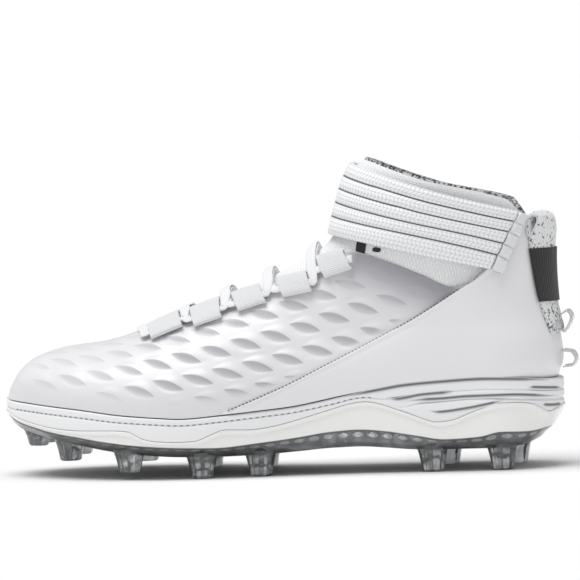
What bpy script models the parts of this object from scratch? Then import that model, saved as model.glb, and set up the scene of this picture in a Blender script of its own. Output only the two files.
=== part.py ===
"""American football cleat, left shoe, empty, standing on its studs.

Metres, +Z up. The toe points to -X, the heel to +X, the outer side to -Y, and z = 0 is the stud tips.
Places along the shoe are shares of LENGTH from the toe, widths are shares of BALL_WIDTH, heights in
the sole are shares of SOLE_HEIGHT, and heights in the upper are shares of UPPER_RISE above the sole.
"""

import math

import bmesh
import bpy
import numpy as np

# Driving dimensions
LENGTH = 0.303
BALL_WIDTH = 0.100
SOLE_HEIGHT = 0.048
UPPER_RISE = 0.124
TOE_X = -0.5125 * LENGTH
TOE_ROUND = 0.20
TOE_POWER = 2.4
HEEL_ROUND = 0.12
SHAFT_HEEL_ROUND = 0.19
SHAFT_FRONT_RADIUS = 0.046
INSTEP_RADIUS = 0.078
SIDE_BULGE = 0.0015
GAP = 0.0003

# Sole
RIM_PROUD = 0.0009
GROOVE_DEPTH = 0.0009
GROOVE_HALF = 0.0009
HEEL_GROOVE_DEPTH = 0.0011
HEEL_GROOVE_HALF = 0.0013
HEEL_GROOVE_START = 0.70
CUP_WALL = 0.0015
PLATE_RECESS = 0.0022
PLATE_RIM = 0.0105
STUD_BASE_RADIUS = 0.0092
STUD_TIP_RADIUS = 0.0060
STUD_ROOT = 0.003
STUD_EDGE = 0.0104
HEEL_TUCK = 0.0095
STUD_SIDES = 12
STUD_FLUTE = 0.90
INSOLE_THICKNESS = 0.0034
INSOLE_INSET = 0.0030

# Upper
SKIN_WALL = 0.0016
SLEEVE_DROP = 0.0026
SLEEVE_WALL = 0.0023
QUARTER_LIFT = 0.00055
QUARTER_WALL = 0.0008
STRAP_WALL = 0.0020
STRAP_RIB = 0.0013
STRAP_DROP = 0.0008
STRAP_REAR_LIFT = 0.0019
TIP_WALL = 0.0024
TIP_BLOCK = 0.0013
TAB_WIDTH = 0.030
TAB_WALL = 0.0016
BAND_WALL = 0.0006
LOOP_WIDTH = 0.014
LOOP_WALL = 0.0010

# Lacing
TUNNEL_GAP = 0.0008
TUNNEL_WALL = 0.0009
TUNNEL_CLEAR = 0.0020
LACE_WIDTH = 0.0042
LACE_THICKNESS = 0.0010
LACE_LIFT = TUNNEL_GAP + TUNNEL_WALL + TUNNEL_CLEAR / 2
LACE_LOW = (0.0014, 0.0003)
LACE_HIGH = (0.0029, 0.0019)

# Station, outer and inner half width from the ridge line, and the ridge line's own place
PLAN = (
    (0.00, 0.360, 0.360, 0.080),
    (0.04, 0.365, 0.355, 0.072),
    (0.09, 0.410, 0.385, 0.065),
    (0.16, 0.465, 0.428, 0.050),
    (0.24, 0.520, 0.465, 0.025),
    (0.30, 0.530, 0.465, 0.012),
    (0.38, 0.505, 0.420, 0.005),
    (0.46, 0.450, 0.355, 0.000),
    (0.56, 0.390, 0.295, 0.000),
    (0.65, 0.360, 0.300, 0.000),
    (0.75, 0.355, 0.330, 0.000),
    (0.85, 0.345, 0.340, 0.000),
    (1.00, 0.340, 0.340, 0.000),
)

# Station and height of the line where the upper meets the sole
FEATHER = (
    (0.00, 0.870), (0.07, 0.830), (0.15, 0.782), (0.23, 0.722), (0.30, 0.687), (0.34, 0.672),
    (0.41, 0.700), (0.48, 0.738), (0.53, 0.768), (0.62, 0.872), (0.69, 0.948), (0.73, 0.988),
    (0.80, 1.020), (0.87, 1.038), (0.94, 1.020), (1.00, 0.985),
)

# Station and drop of the long groove below the feather line
GROOVE = ((0.00, 0.085), (0.15, 0.080), (0.30, 0.067), (0.60, 0.062), (0.66, 0.085), (0.73, 0.140), (0.82, 0.125),
          (1.00, 0.120))

# Station and drop of the heel groove below the feather line
HEEL_GROOVE = ((0.70, 0.230), (0.78, 0.215), (0.85, 0.205), (0.93, 0.228), (1.00, 0.225))

# Station and height of the wavy edge where the clear plate wraps up over the foam
WAVE = (
    (0.000, 0.760), (0.030, 0.675), (0.070, 0.610), (0.110, 0.570), (0.151, 0.553), (0.217, 0.557),
    (0.245, 0.545), (0.268, 0.470), (0.291, 0.435), (0.327, 0.420), (0.362, 0.425), (0.389, 0.486),
    (0.415, 0.543), (0.459, 0.533), (0.502, 0.566), (0.546, 0.632), (0.582, 0.695), (0.618, 0.760),
    (0.644, 0.797), (0.662, 0.806), (0.680, 0.790), (0.707, 0.735), (0.742, 0.655), (0.768, 0.590),
    (0.786, 0.560), (0.813, 0.576), (0.840, 0.638), (0.867, 0.700), (0.901, 0.755), (0.927, 0.755),
    (0.951, 0.735), (0.967, 0.680), (0.979, 0.630), (1.000, 0.700),
)

# Station, height of the foam's underside and height of the plate's underside
UNDERSIDE = (
    (0.00, 0.735, 0.640),
    (0.03, 0.632, 0.540),
    (0.07, 0.565, 0.470),
    (0.11, 0.513, 0.420),
    (0.15, 0.478, 0.375),
    (0.19, 0.439, 0.330),
    (0.26, 0.387, 0.280),
    (0.33, 0.358, 0.250),
    (0.40, 0.345, 0.240),
    (0.47, 0.380, 0.245),
    (0.54, 0.428, 0.268),
    (0.60, 0.480, 0.295),
    (0.65, 0.496, 0.302),
    (0.69, 0.476, 0.286),
    (0.75, 0.415, 0.255),
    (0.80, 0.366, 0.250),
    (0.86, 0.384, 0.250),
    (0.90, 0.435, 0.255),
    (0.95, 0.425, 0.275),
    (1.00, 0.450, 0.330),
)

# Station, side and the share of the half width where each stud stands, and its tip's height
STUDS = (
    ("toe_outer", 0.058, -1, 0.55, 0.345),
    ("toe_inner", 0.062, 1, 0.55, 0.345),
    ("front_outer", 0.122, -1, 0.72, 0.190),
    ("front_inner", 0.118, 1, 0.74, 0.190),
    ("ball_outer", 0.240, -1, 1.0, 0.075),
    ("ball_inner", 0.232, 1, 1.0, 0.075),
    ("tread_outer", 0.370, -1, 1.0, 0.0),
    ("tread_inner", 0.350, 1, 1.0, 0.0),
    ("waist_outer", 0.472, -1, 1.0, 0.0),
    ("waist_inner", 0.455, 1, 1.0, 0.0),
    ("seat_outer", 0.775, -1, 1.0, 0.0),
    ("seat_inner", 0.785, 1, 1.0, 0.0),
    ("heel_outer", 0.898, -1, 0.95, 0.0),
    ("heel_inner", 0.908, 1, 0.95, 0.0),
)

# Station and height of the upper's outline over toe, instep and the front of the shaft
TOP = (
    (0.000, -0.050), (0.006, -0.001), (0.013, 0.030), (0.023, 0.069), (0.037, 0.103), (0.055, 0.132),
    (0.083, 0.157), (0.110, 0.173), (0.137, 0.182), (0.172, 0.191), (0.209, 0.211), (0.236, 0.232),
    (0.281, 0.272), (0.335, 0.326), (0.389, 0.384), (0.444, 0.444), (0.498, 0.496), (0.534, 0.540),
    (0.571, 0.591), (0.592, 0.646), (0.600, 0.716), (0.609, 0.789), (0.619, 0.867), (0.636, 0.940),
    (0.655, 0.986), (0.680, 1.080),
)

# Height and station of the back of the heel
BACK = (
    (-0.110, 0.9855), (-0.008, 0.9875), (0.022, 0.9915), (0.087, 0.9990), (0.161, 0.9965), (0.230, 0.9890),
    (0.283, 0.9820), (0.370, 0.9755), (0.458, 0.9715), (0.544, 0.9665), (0.610, 0.9625), (0.681, 0.9575),
    (0.820, 0.9500), (1.000, 0.9450),
)

# Height and half width of the shaft
SHAFT = ((0.168, 0.335), (0.376, 0.355), (0.584, 0.360), (0.792, 0.345), (1.000, 0.340))

# Feather station, then station and height of the skin's top edge reached from there
SKIN_EDGE = (
    (0.22, 0.236, 0.232), (0.26, 0.275, 0.256), (0.30, 0.320, 0.290), (0.35, 0.385, 0.344),
    (0.40, 0.440, 0.386), (0.45, 0.500, 0.429), (0.50, 0.555, 0.473), (0.55, 0.600, 0.540),
    (0.60, 0.637, 0.577), (0.64, 0.660, 0.564), (0.70, 0.710, 0.521), (0.76, 0.765, 0.467),
    (0.82, 0.821, 0.411), (0.86, 0.853, 0.422), (0.89, 0.871, 0.462), (0.92, 0.890, 0.501),
    (0.95, 0.915, 0.570), (0.975, 0.938, 0.650), (1.00, 0.9585, 0.672),
)

# Feather station, then station and height of the quarter panel's seam reached from there
SEAM = (
    (0.405, 0.418, -0.100), (0.45, 0.470, -0.050), (0.50, 0.530, 0.010), (0.55, 0.590, 0.080),
    (0.60, 0.645, 0.144), (0.65, 0.700, 0.211), (0.70, 0.750, 0.275), (0.76, 0.800, 0.348),
    (0.82, 0.835, 0.401), (0.87, 0.862, 0.441), (0.90, 0.880, 0.480), (0.93, 0.900, 0.528),
    (0.955, 0.918, 0.585), (0.98, 0.940, 0.658), (1.00, 0.9585, 0.676),
)

# Sleeve rows: place along the row order, front station and height, rear station and height
SLEEVE_ROWS = (
    (0.00, 0.220, 0.219, 0.226, 0.180),
    (0.10, 0.290, 0.281, 0.300, 0.222),
    (0.20, 0.350, 0.342, 0.365, 0.262),
    (0.30, 0.430, 0.429, 0.440, 0.300),
    (0.40, 0.510, 0.509, 0.540, 0.345),
    (0.50, 0.571, 0.591, 0.700, 0.360),
    (0.60, 0.594, 0.662, 0.860, 0.320),
    (0.70, 0.603, 0.740, 0.9755, 0.370),
    (0.80, 0.612, 0.812, 0.9690, 0.500),
    (0.90, 0.628, 0.908, 0.9625, 0.610),
    (1.00, 0.655, 0.986, 0.9570, 0.690),
)
SLEEVE_HEEL_ROW = 0.70

# Share of the way from front to heel and the collar edge's rise over the straight line there
COLLAR_RISE = ((0.00, 0.000), (0.12, 0.012), (0.24, 0.016), (0.43, 0.022), (0.66, 0.048), (0.77, 0.060),
               (0.90, 0.068), (0.95, 0.040), (1.00, 0.000))

# Station and height of the strap's corners: low and high, at the front, at its end, and past its tip
STRAP_FRONT = ((0.592, 0.642), (0.632, 0.946))
STRAP_END = ((0.884, 0.482), (0.930, 0.722))
STRAP_TIP_END = ((0.905, 0.452), (0.945, 0.699))
STRAP_RIBS = (0.0, 0.25, 0.445, 0.64, 0.82, 1.0)
STRAP_OVERLAP = (0.62, 0.86)

# Tunnel corners as station and height: upper front, upper rear, lower rear, lower front
TUNNELS = (
    ((0.272, 0.246), (0.326, 0.300), (0.337, 0.254), (0.283, 0.202)),
    ((0.350, 0.310), (0.402, 0.354), (0.407, 0.291), (0.360, 0.253)),
    ((0.426, 0.370), (0.474, 0.406), (0.485, 0.356), (0.438, 0.318)),
    ((0.509, 0.437), (0.563, 0.465), (0.569, 0.404), (0.519, 0.378)),
    ((0.582, 0.525), (0.632, 0.567), (0.644, 0.502), (0.596, 0.460)),
)

# Height and station along the middle of the heel tab's ribbon, from its foot over its top and back down
TAB_PATH = (
    (0.194, 1.0020), (0.258, 0.9990), (0.323, 0.9940), (0.403, 0.9920), (0.476, 0.9910), (0.565, 0.9920),
    (0.637, 0.9950), (0.681, 0.9930), (0.706, 0.9860), (0.708, 0.9780), (0.690, 0.9720), (0.650, 0.9725),
    (0.610, 0.9745),
)
BAND_SPAN = (0.328, 0.560)
UPPER_LOOP_PATH = ((0.272, 1.0060), (0.284, 1.0160), (0.256, 1.0235), (0.218, 1.0180), (0.190, 1.0090))
LOWER_LOOP_PATH = ((0.113, 1.0060), (0.107, 1.0215), (0.077, 1.0290), (0.045, 1.0220), (0.040, 1.0065))


def smooth(rows, at, column=1):
    """A table's column at any place of its first column, on one smooth curve that adds no waves."""
    table = np.asarray(rows, float)
    x, y = table[:, 0], table[:, column]
    rise = np.diff(y) / np.diff(x)
    before, after = rise[:-1], rise[1:]
    same = before * after > 0
    middle = np.where(same, 2 * before * after / np.where(same, before + after, 1), 0)
    slope = np.concatenate([rise[:1], middle, rise[-1:]])
    at = np.clip(at, x[0], x[-1])
    i = np.clip(np.searchsorted(x, at) - 1, 0, len(x) - 2)
    step = x[i + 1] - x[i]
    t = (at - x[i]) / step
    return (
        y[i] * (1 + 2 * t) * (1 - t) ** 2
        + slope[i] * step * t * (1 - t) ** 2
        + y[i + 1] * t**2 * (3 - 2 * t)
        + slope[i + 1] * step * t**2 * (t - 1)
    )


def ease(t):
    t = np.clip(t, 0, 1)
    return t * t * (3 - 2 * t)


def closure(u, power=2.0):
    """The rounding of an edge: 0 on the outline, 1 one radius in from it."""
    u = np.clip(u, 0, 1)
    return (1 - (1 - u) ** power) ** (1 / power)


def station_x(share):
    return TOE_X + np.asarray(share) * LENGTH


def upper_z(share):
    return SOLE_HEIGHT + np.asarray(share) * UPPER_RISE


def feather_z(share):
    return smooth(FEATHER, share) * SOLE_HEIGHT


def back_x(z):
    return station_x(smooth(BACK, (z - SOLE_HEIGHT) / UPPER_RISE))


def heel_radius(z):
    """How far the heel's rounding reaches forward: the ankle is narrower at the back than the heel."""
    height = (z - SOLE_HEIGHT) / UPPER_RISE
    return (HEEL_ROUND + (SHAFT_HEEL_ROUND - HEEL_ROUND) * ease((height - 0.1) / 0.4)) * LENGTH


def inside_heel(x):
    """The sole's stations drawn in so that the last lies under the back of the upper."""
    back = back_x(feather_z(1.0) + GAP)
    return TOE_X + (x - TOE_X) * (back - TOE_X) / LENGTH


def upper_base(share, lift):
    """Where the upper starts, just above the feather line. Its heel stands a little inside the sole's."""
    x = float(inside_heel(station_x(share)))
    return x, float(feather_z((x - TOE_X) / LENGTH)) + lift


def front_x(z):
    flipped = [(height, station) for station, height in TOP]
    return station_x(smooth(flipped, (z - SOLE_HEIGHT) / UPPER_RISE))


def outline_points(count=500):
    """The upper's outline over toe, instep and shaft, as points close together."""
    table = np.asarray(TOP)
    corners = np.stack([station_x(table[:, 0]), upper_z(table[:, 1])], axis=1)
    run = np.concatenate([[0], np.cumsum(np.linalg.norm(np.diff(corners, axis=0), axis=1))])
    at = np.linspace(0, run[-1], count)
    return np.stack([smooth(np.column_stack([run, corners[:, i]]), at) for i in (0, 1)], axis=1)


OUTLINE = outline_points()


def outline_distance(x, z):
    x, z = np.broadcast_arrays(np.asarray(x, float), np.asarray(z, float))
    flat = np.stack([x.ravel(), z.ravel()], axis=1)
    gaps = np.linalg.norm(flat[:, None, :] - OUTLINE[None, :, :], axis=2)
    return gaps.min(axis=1).reshape(x.shape)


def half_width(side, x, z):
    """How far the upper's outer face stands from the ridge line, seen from one side."""
    share = (x - TOE_X) / LENGTH
    height = (z - SOLE_HEIGHT) / UPPER_RISE
    foot = smooth(PLAN, share, 1 if side < 0 else 2) * BALL_WIDTH
    shaft = smooth(SHAFT, height) * BALL_WIDTH
    to_shaft = ease((height - 0.14) / 0.47)
    above = np.clip((z - feather_z(share)) / 0.03, 0, 1)
    full = foot + (shaft - foot) * to_shaft + SIDE_BULGE * 4 * above * (1 - above)
    toe = closure((x - TOE_X) / (TOE_ROUND * LENGTH), TOE_POWER)
    heel = closure((back_x(z) - x) / heel_radius(z))
    radius = INSTEP_RADIUS + (SHAFT_FRONT_RADIUS - INSTEP_RADIUS) * to_shaft
    reach = np.minimum(outline_distance(x, feather_z(share)), radius)
    crown = closure(outline_distance(x, z) / np.maximum(reach, 1e-5), 2.2 - 0.35 * ease(share / 0.5))
    return full * toe * heel * crown


def ridge_y(x):
    return smooth(PLAN, (x - TOE_X) / LENGTH, 3) * BALL_WIDTH


def upper_point(side, x, z):
    """Points on the upper's outer face. They are given as seen from the side."""
    x, z = np.broadcast_arrays(np.asarray(x, float), np.asarray(z, float))
    return np.stack([x, ridge_y(x) + side * half_width(side, x, z), z], axis=-1)


def surface_frame(side, x, z, lift):
    """A point above the upper's outer face and the face's normal there."""
    step = 0.0004
    middle = upper_point(side, x, z)
    along = upper_point(side, x + step, z) - upper_point(side, x - step, z)
    up = upper_point(side, x, z + step) - upper_point(side, x, z - step)
    normal = np.cross(along, up) * -side
    normal = normal / np.linalg.norm(normal, axis=-1, keepdims=True)
    return middle + normal * np.asarray(lift)[..., None], normal


def stations(first=0.0):
    """Stations from toe to heel, closer together where both ends turn round."""
    toe = TOE_ROUND * (1 - np.cos(np.linspace(0, math.pi / 2, 8)))
    middle = np.linspace(TOE_ROUND, 1 - HEEL_ROUND, 17)[1:-1]
    heel = 1 - HEEL_ROUND * (1 - np.cos(np.linspace(math.pi / 2, 0, 7)))
    shares = np.concatenate([toe, middle, heel])
    return np.concatenate([[first], shares[shares > first + 0.008]])


def finish(name, colour, roughness, alpha=1.0):
    material = bpy.data.materials.new(name)
    material.use_nodes = True
    shader = material.node_tree.nodes["Principled BSDF"]
    shader.inputs["Base Color"].default_value = (*colour, 1)
    shader.inputs["Roughness"].default_value = roughness
    shader.inputs["Metallic"].default_value = 0.0
    shader.inputs["Alpha"].default_value = alpha
    return material


def add_object(name, mesh_data, material):
    """An object from a closed bmesh, with its faces turned outwards."""
    bmesh.ops.recalc_face_normals(mesh_data, faces=mesh_data.faces)
    mesh = bpy.data.meshes.new(name)
    mesh_data.to_mesh(mesh)
    mesh_data.free()
    mesh.materials.append(material)
    mesh.shade_smooth()
    mesh.set_sharp_from_angle(angle=math.radians(40))
    piece = bpy.data.objects.new(name, mesh)
    bpy.context.scene.collection.objects.link(piece)
    return piece


def grid_faces(keys):
    """The faces between rows of point numbers. A repeated number closes a face to a triangle."""
    faces = []
    for row, after in zip(keys[:-1], keys[1:]):
        for corners in zip(row[:-1], row[1:], after[1:], after[:-1]):
            kept = list(dict.fromkeys(corners))
            if len(kept) > 2:
                faces.append(kept)
    return faces


def point_normals(points, faces):
    normals = np.zeros_like(points)
    for face in faces:
        a, b, c = points[face[0]], points[face[1]], points[face[2]]
        turn = np.cross(b - a, c - a)
        if len(face) == 4:
            turn = turn + np.cross(c - a, points[face[3]] - a)
        for corner in face:
            normals[corner] += turn
    normals /= np.maximum(np.linalg.norm(normals, axis=1, keepdims=True), 1e-12)
    middle = points.mean(axis=0) * (1, 0, 1)
    return normals if ((points - middle) * normals).sum() > 0 else -normals


def add_shell(name, points, faces, inner, outer, material, level=()):
    """A closed wall between two offsets from a sheet. The points in level keep their height."""
    normals = point_normals(points, faces)
    inner = np.broadcast_to(np.asarray(inner, float), len(points))
    outer = np.broadcast_to(np.asarray(outer, float), len(points))
    inside = points + normals * inner[:, None]
    outside = points + normals * outer[:, None]
    for point in level:
        inside[point, 2] = outside[point, 2] = points[point, 2]
    mesh = bmesh.new()
    low = [mesh.verts.new(co) for co in inside]
    high = [mesh.verts.new(co) for co in outside]
    uses = {}
    for face in faces:
        mesh.faces.new([high[i] for i in face])
        mesh.faces.new([low[i] for i in reversed(face)])
        for a, b in zip(face, face[1:] + face[:1]):
            uses.setdefault(frozenset((a, b)), []).append((a, b))
    for edge in uses.values():
        if len(edge) == 1:
            a, b = edge[0]
            mesh.faces.new([high[b], high[a], low[a], low[b]])
    return add_object(name, mesh, material)


def two_sided(rows, count, place, joined_start, joined_end):
    """A sheet over both sides of the shoe.

    place gives a side's points of one row, from the row's start to its end. Both sides share the first
    point of a row where joined_start says so, and the last point where joined_end does.
    """
    points, keys = [], {-1: [], 1: []}
    for row in rows:
        shared = {}
        for side in (-1, 1):
            line = place(side, row)
            numbers = []
            for i, point in enumerate(line):
                end = (i == 0 and joined_start(row)) or (i == count - 1 and joined_end(row))
                if end and i in shared:
                    numbers.append(shared[i])
                    continue
                points.append(point)
                numbers.append(len(points) - 1)
                if end:
                    shared[i] = numbers[-1]
            keys[side].append(numbers)
    return np.array(points), keys


# Sole
def sole_loop():
    """The sole's outline seen from above: toe tip, outer side, heel tip, inner side, with its normals."""
    shares = stations()
    x = station_x(shares)
    round_off = closure(shares / TOE_ROUND, TOE_POWER) * closure((1 - shares) / HEEL_ROUND)
    sides = {}
    for side, column in ((-1, 1), (1, 2)):
        width = smooth(PLAN, shares, column) * BALL_WIDTH * round_off
        sides[side] = np.stack([x, ridge_y(x) + side * width], axis=1)
    loop = np.concatenate([sides[-1], sides[1][-2:0:-1]])
    share = np.concatenate([shares, shares[-2:0:-1]])
    tangent = np.roll(loop, -1, axis=0) - np.roll(loop, 1, axis=0)
    tangent /= np.linalg.norm(tangent, axis=1, keepdims=True)
    normal = np.stack([tangent[:, 1], -tangent[:, 0]], axis=1)
    return share, loop, normal


def ring(offset, height):
    """The sole's outline moved outwards by offset, at a height for each station."""
    share, loop, normal = sole_loop()
    offset = np.broadcast_to(np.asarray(offset, float), share.shape)
    height = np.broadcast_to(np.asarray(height, float), share.shape)
    return np.concatenate([loop + normal * offset[:, None], height[:, None]], axis=1)


def add_ring_body(name, rings, material):
    """A closed body from rings, the lowest face first, capped across the shoe at both ends."""
    mesh = bmesh.new()
    loops = [[mesh.verts.new(co) for co in points] for points in rings]
    for low, high in zip(loops[:-1], loops[1:]):
        for i in range(len(low)):
            j = (i + 1) % len(low)
            mesh.faces.new([low[i], low[j], high[j], high[i]])
    half = len(loops[0]) // 2
    for loop in (loops[0], loops[-1]):
        for i in range(half):
            across = [loop[i], loop[i + 1], loop[-i - 1], loop[-i % len(loop)]]
            mesh.faces.new(list(dict.fromkeys(across)))
    return add_object(name, mesh, material)


def sole_heights():
    share = sole_loop()[0]
    heights = {
        "share": share,
        "feather": feather_z(share),
        "wave": smooth(WAVE, share) * SOLE_HEIGHT,
        "foam": smooth(UNDERSIDE, share, 1) * SOLE_HEIGHT,
        "plate": smooth(UNDERSIDE, share, 2) * SOLE_HEIGHT,
    }
    heights["tuck"] = HEEL_TUCK * ease((share - 0.915) / 0.085)
    heights["groove"] = heights["feather"] - smooth(GROOVE, share) * SOLE_HEIGHT
    heights["heel_groove"] = heights["feather"] - smooth(HEEL_GROOVE, share) * SOLE_HEIGHT
    return heights


def add_midsole():
    at = sole_heights()
    heel = ease((at["share"] - HEEL_GROOVE_START) / 0.06)
    half = 0.0003 + (HEEL_GROOVE_HALF - 0.0003) * heel
    low_foam = at["foam"] + 0.25 * (at["wave"] - at["foam"])
    step = at["wave"] + GAP
    lowest = step + GAP + half
    heel_line = lowest + heel * np.maximum(at["heel_groove"] - lowest, 0)
    line = np.maximum(at["groove"], heel_line + half + GAP + GROOVE_HALF)
    line = np.minimum(line, at["feather"] - GAP - GROOVE_HALF)
    under = -RIM_PROUD - CUP_WALL + 2 * RIM_PROUD - GAP
    rings = [
        ring(-0.004 - 0.90 * at["tuck"], at["foam"]),
        ring(-0.0018 - 0.74 * at["tuck"], low_foam),
        ring(under - 0.18 * at["tuck"], step - 0.0001),
        ring(RIM_PROUD, step),
        ring(RIM_PROUD, heel_line - half),
        ring(RIM_PROUD - HEEL_GROOVE_DEPTH * heel, heel_line),
        ring(RIM_PROUD, heel_line + half),
        ring(RIM_PROUD, line - GROOVE_HALF),
        ring(RIM_PROUD - GROOVE_DEPTH, line),
        ring(RIM_PROUD, line + GROOVE_HALF),
        ring(RIM_PROUD * 0.6, at["feather"]),
    ]
    return add_ring_body("midsole", rings, finish("foam", (0.86, 0.87, 0.88), 0.55))


def add_plate():
    at = sole_heights()
    low_foam = at["foam"] + 0.25 * (at["wave"] - at["foam"])
    inner = RIM_PROUD - CUP_WALL
    rim = PLATE_RIM * (0.45 + 0.55 * ease(np.minimum(at["share"], 1 - at["share"]) / 0.08))
    rings = [
        ring(-rim - 0.001 - at["tuck"], at["plate"] + PLATE_RECESS),
        ring(-rim - at["tuck"], at["plate"]),
        ring(-0.45 * rim - at["tuck"], at["plate"]),
        ring(-0.0012 - 0.86 * at["tuck"], at["plate"] + 0.0028),
        ring(RIM_PROUD * 0.8 - 0.40 * at["tuck"], 0.45 * at["plate"] + 0.55 * at["wave"]),
        ring(RIM_PROUD, at["wave"]),
        ring(inner, at["wave"]),
        ring(-0.0018 - 0.47 * at["tuck"] + 1.3 * GAP, low_foam - GAP),
        ring(-0.004 - 0.65 * at["tuck"] + 1.3 * GAP, at["foam"] - 1.6 * GAP),
    ]
    plate = add_ring_body("outsole_plate", rings, finish("clear_plate", (0.62, 0.64, 0.66), 0.25, 0.5))
    studs = add_studs()
    union = plate.modifiers.new("studs", "BOOLEAN")
    union.operation = "UNION"
    union.object = studs
    return plate


def add_studs():
    """All the studs as one guide: tapered, fluted, flat at the tip and rooted inside the plate."""
    mesh = bmesh.new()
    for _, share, side, spread, tip in STUDS:
        x = float(station_x(share))
        column = 1 if side < 0 else 2
        width = float(smooth(PLAN, share, column)) * BALL_WIDTH
        width *= float(closure(share / TOE_ROUND, TOE_POWER) * closure((1 - share) / HEEL_ROUND))
        y = float(ridge_y(x)) + side * (width - STUD_EDGE) * spread
        root = float(smooth(UNDERSIDE, share, 2)) * SOLE_HEIGHT + STUD_ROOT
        low = tip * SOLE_HEIGHT
        long = (root - low) / (SOLE_HEIGHT * 0.31)
        grow = 0.72 + 0.28 * min(long, 1.0)
        made = bmesh.ops.create_cone(
            mesh, cap_ends=True, segments=STUD_SIDES, depth=root - low,
            radius1=STUD_TIP_RADIUS * grow, radius2=STUD_BASE_RADIUS * grow,
        )
        for vertex in made["verts"]:
            turn = round(math.atan2(vertex.co.y, vertex.co.x) / (2 * math.pi / STUD_SIDES))
            if turn % 2:
                vertex.co.xy *= STUD_FLUTE
        bmesh.ops.translate(mesh, verts=made["verts"], vec=(x, y, (root + low) / 2))
    guide = add_object("stud_guide", mesh, finish("stud", (0.62, 0.64, 0.66), 0.25))
    guide.hide_render = True
    guide.display_type = "WIRE"
    return guide


def add_insole():
    rings = []
    for inset, rise in ((0.0, 0.0), (0.0, 0.5), (0.0015, 1.0)):
        points = ring(-INSOLE_INSET - SKIN_WALL - inset, 0.0)
        points[:, 0] = inside_heel(points[:, 0])
        under = feather_z((points[:, 0] - TOE_X) / LENGTH)
        points[:, 2] = under + 2 * GAP + rise * INSOLE_THICKNESS
        rings.append(points)
    return add_ring_body("insole", rings, finish("sock_liner", (0.55, 0.56, 0.58), 0.9))


# Upper
def rear_line(side, start, end, steps):
    """A line over the upper's side, straight as seen from the side apart from the heel's own curve."""
    start_back = back_x(start[1]) - start[0]
    end_back = back_x(end[1]) - end[0]
    z = start[1] + (end[1] - start[1]) * steps
    x = back_x(z) - (start_back + (end_back - start_back) * steps)
    return upper_point(side, x, z)


def add_upper(columns=9):
    shares = stations()
    first_open = float(SKIN_EDGE[0][0])
    last = len(shares) - 1
    steps = np.sin(np.linspace(0, math.pi / 2, columns))
    even = np.linspace(0, 1, columns)

    def place(side, row):
        share = shares[row]
        base = upper_base(share, 2 * GAP)
        if share <= first_open:
            lean = (SKIN_EDGE[0][1] - first_open) * share / first_open
            x = float(station_x(share + lean))
            top = (x, float(upper_z(smooth(TOP, share + lean))))
            return rear_line(side, base, top, steps)
        edge_x = float(station_x(smooth(SKIN_EDGE, share, 1)))
        edge_z = float(upper_z(smooth(SKIN_EDGE, share, 2)))
        if row == last:
            base = (float(back_x(base[1])), base[1])
            edge_x = float(back_x(edge_z))
        closed = 1 - ease((share - first_open) / 0.12)
        return rear_line(side, base, (edge_x, edge_z), closed * steps + (1 - closed) * even)

    rows = range(1, len(shares))
    points, keys = two_sided(
        rows, columns, place,
        joined_start=lambda row: row == last,
        joined_end=lambda row: shares[row] <= first_open or row == last,
    )
    # The last row lies on the back of the heel, where both sides share every point
    for i in range(columns):
        keys[1][-1][i] = keys[-1][-1][i]
    tip = (float(TOE_X), float(ridge_y(TOE_X)), float(feather_z(0.0)) + 2 * GAP)
    points = np.vstack([points, tip])
    pole = [len(points) - 1] * columns
    faces = []
    for side in (-1, 1):
        rows_of_side = [pole] + keys[side]
        side_faces = grid_faces(rows_of_side)
        faces += side_faces if side < 0 else [face[::-1] for face in side_faces]
    points, faces = drop_unused(points, faces)
    bottom = np.flatnonzero(on_feather(points))
    return add_shell(
        "upper", points, faces, -SKIN_WALL, 0.0, finish("skin", (0.80, 0.82, 0.84), 0.42), bottom
    )


def drop_unused(points, faces):
    used = sorted({corner for face in faces for corner in face})
    number = {old: new for new, old in enumerate(used)}
    return points[used], [[number[corner] for corner in face] for face in faces]


def on_feather(points):
    share = (points[:, 0] - TOE_X) / LENGTH
    return np.abs(points[:, 2] - feather_z(share) - 2 * GAP) < 1e-4


def add_quarter(columns=9):
    shares = stations(SEAM[0][0])
    last = len(shares) - 1
    even = np.linspace(0, 1, columns)

    def place(side, row):
        share = shares[row]
        base = upper_base(share, 3 * GAP)
        edge = (float(station_x(smooth(SEAM, share, 1))), float(upper_z(smooth(SEAM, share, 2))))
        if row == last:
            base = (float(back_x(base[1])), base[1])
            edge = (float(back_x(edge[1])), edge[1])
        return rear_line(side, base, edge, even)

    points, keys = two_sided(
        range(len(shares)), columns, place,
        joined_start=lambda row: row == last,
        joined_end=lambda row: row == last,
    )
    for i in range(columns):
        keys[1][-1][i] = keys[-1][-1][i]
    faces = grid_faces(keys[-1]) + [face[::-1] for face in grid_faces(keys[1])]
    points, faces = drop_unused(points, faces)
    return add_shell(
        "quarter", points, faces, QUARTER_LIFT, QUARTER_LIFT + QUARTER_WALL,
        finish("quarter_panel", (0.76, 0.78, 0.81), 0.38),
    )


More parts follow.
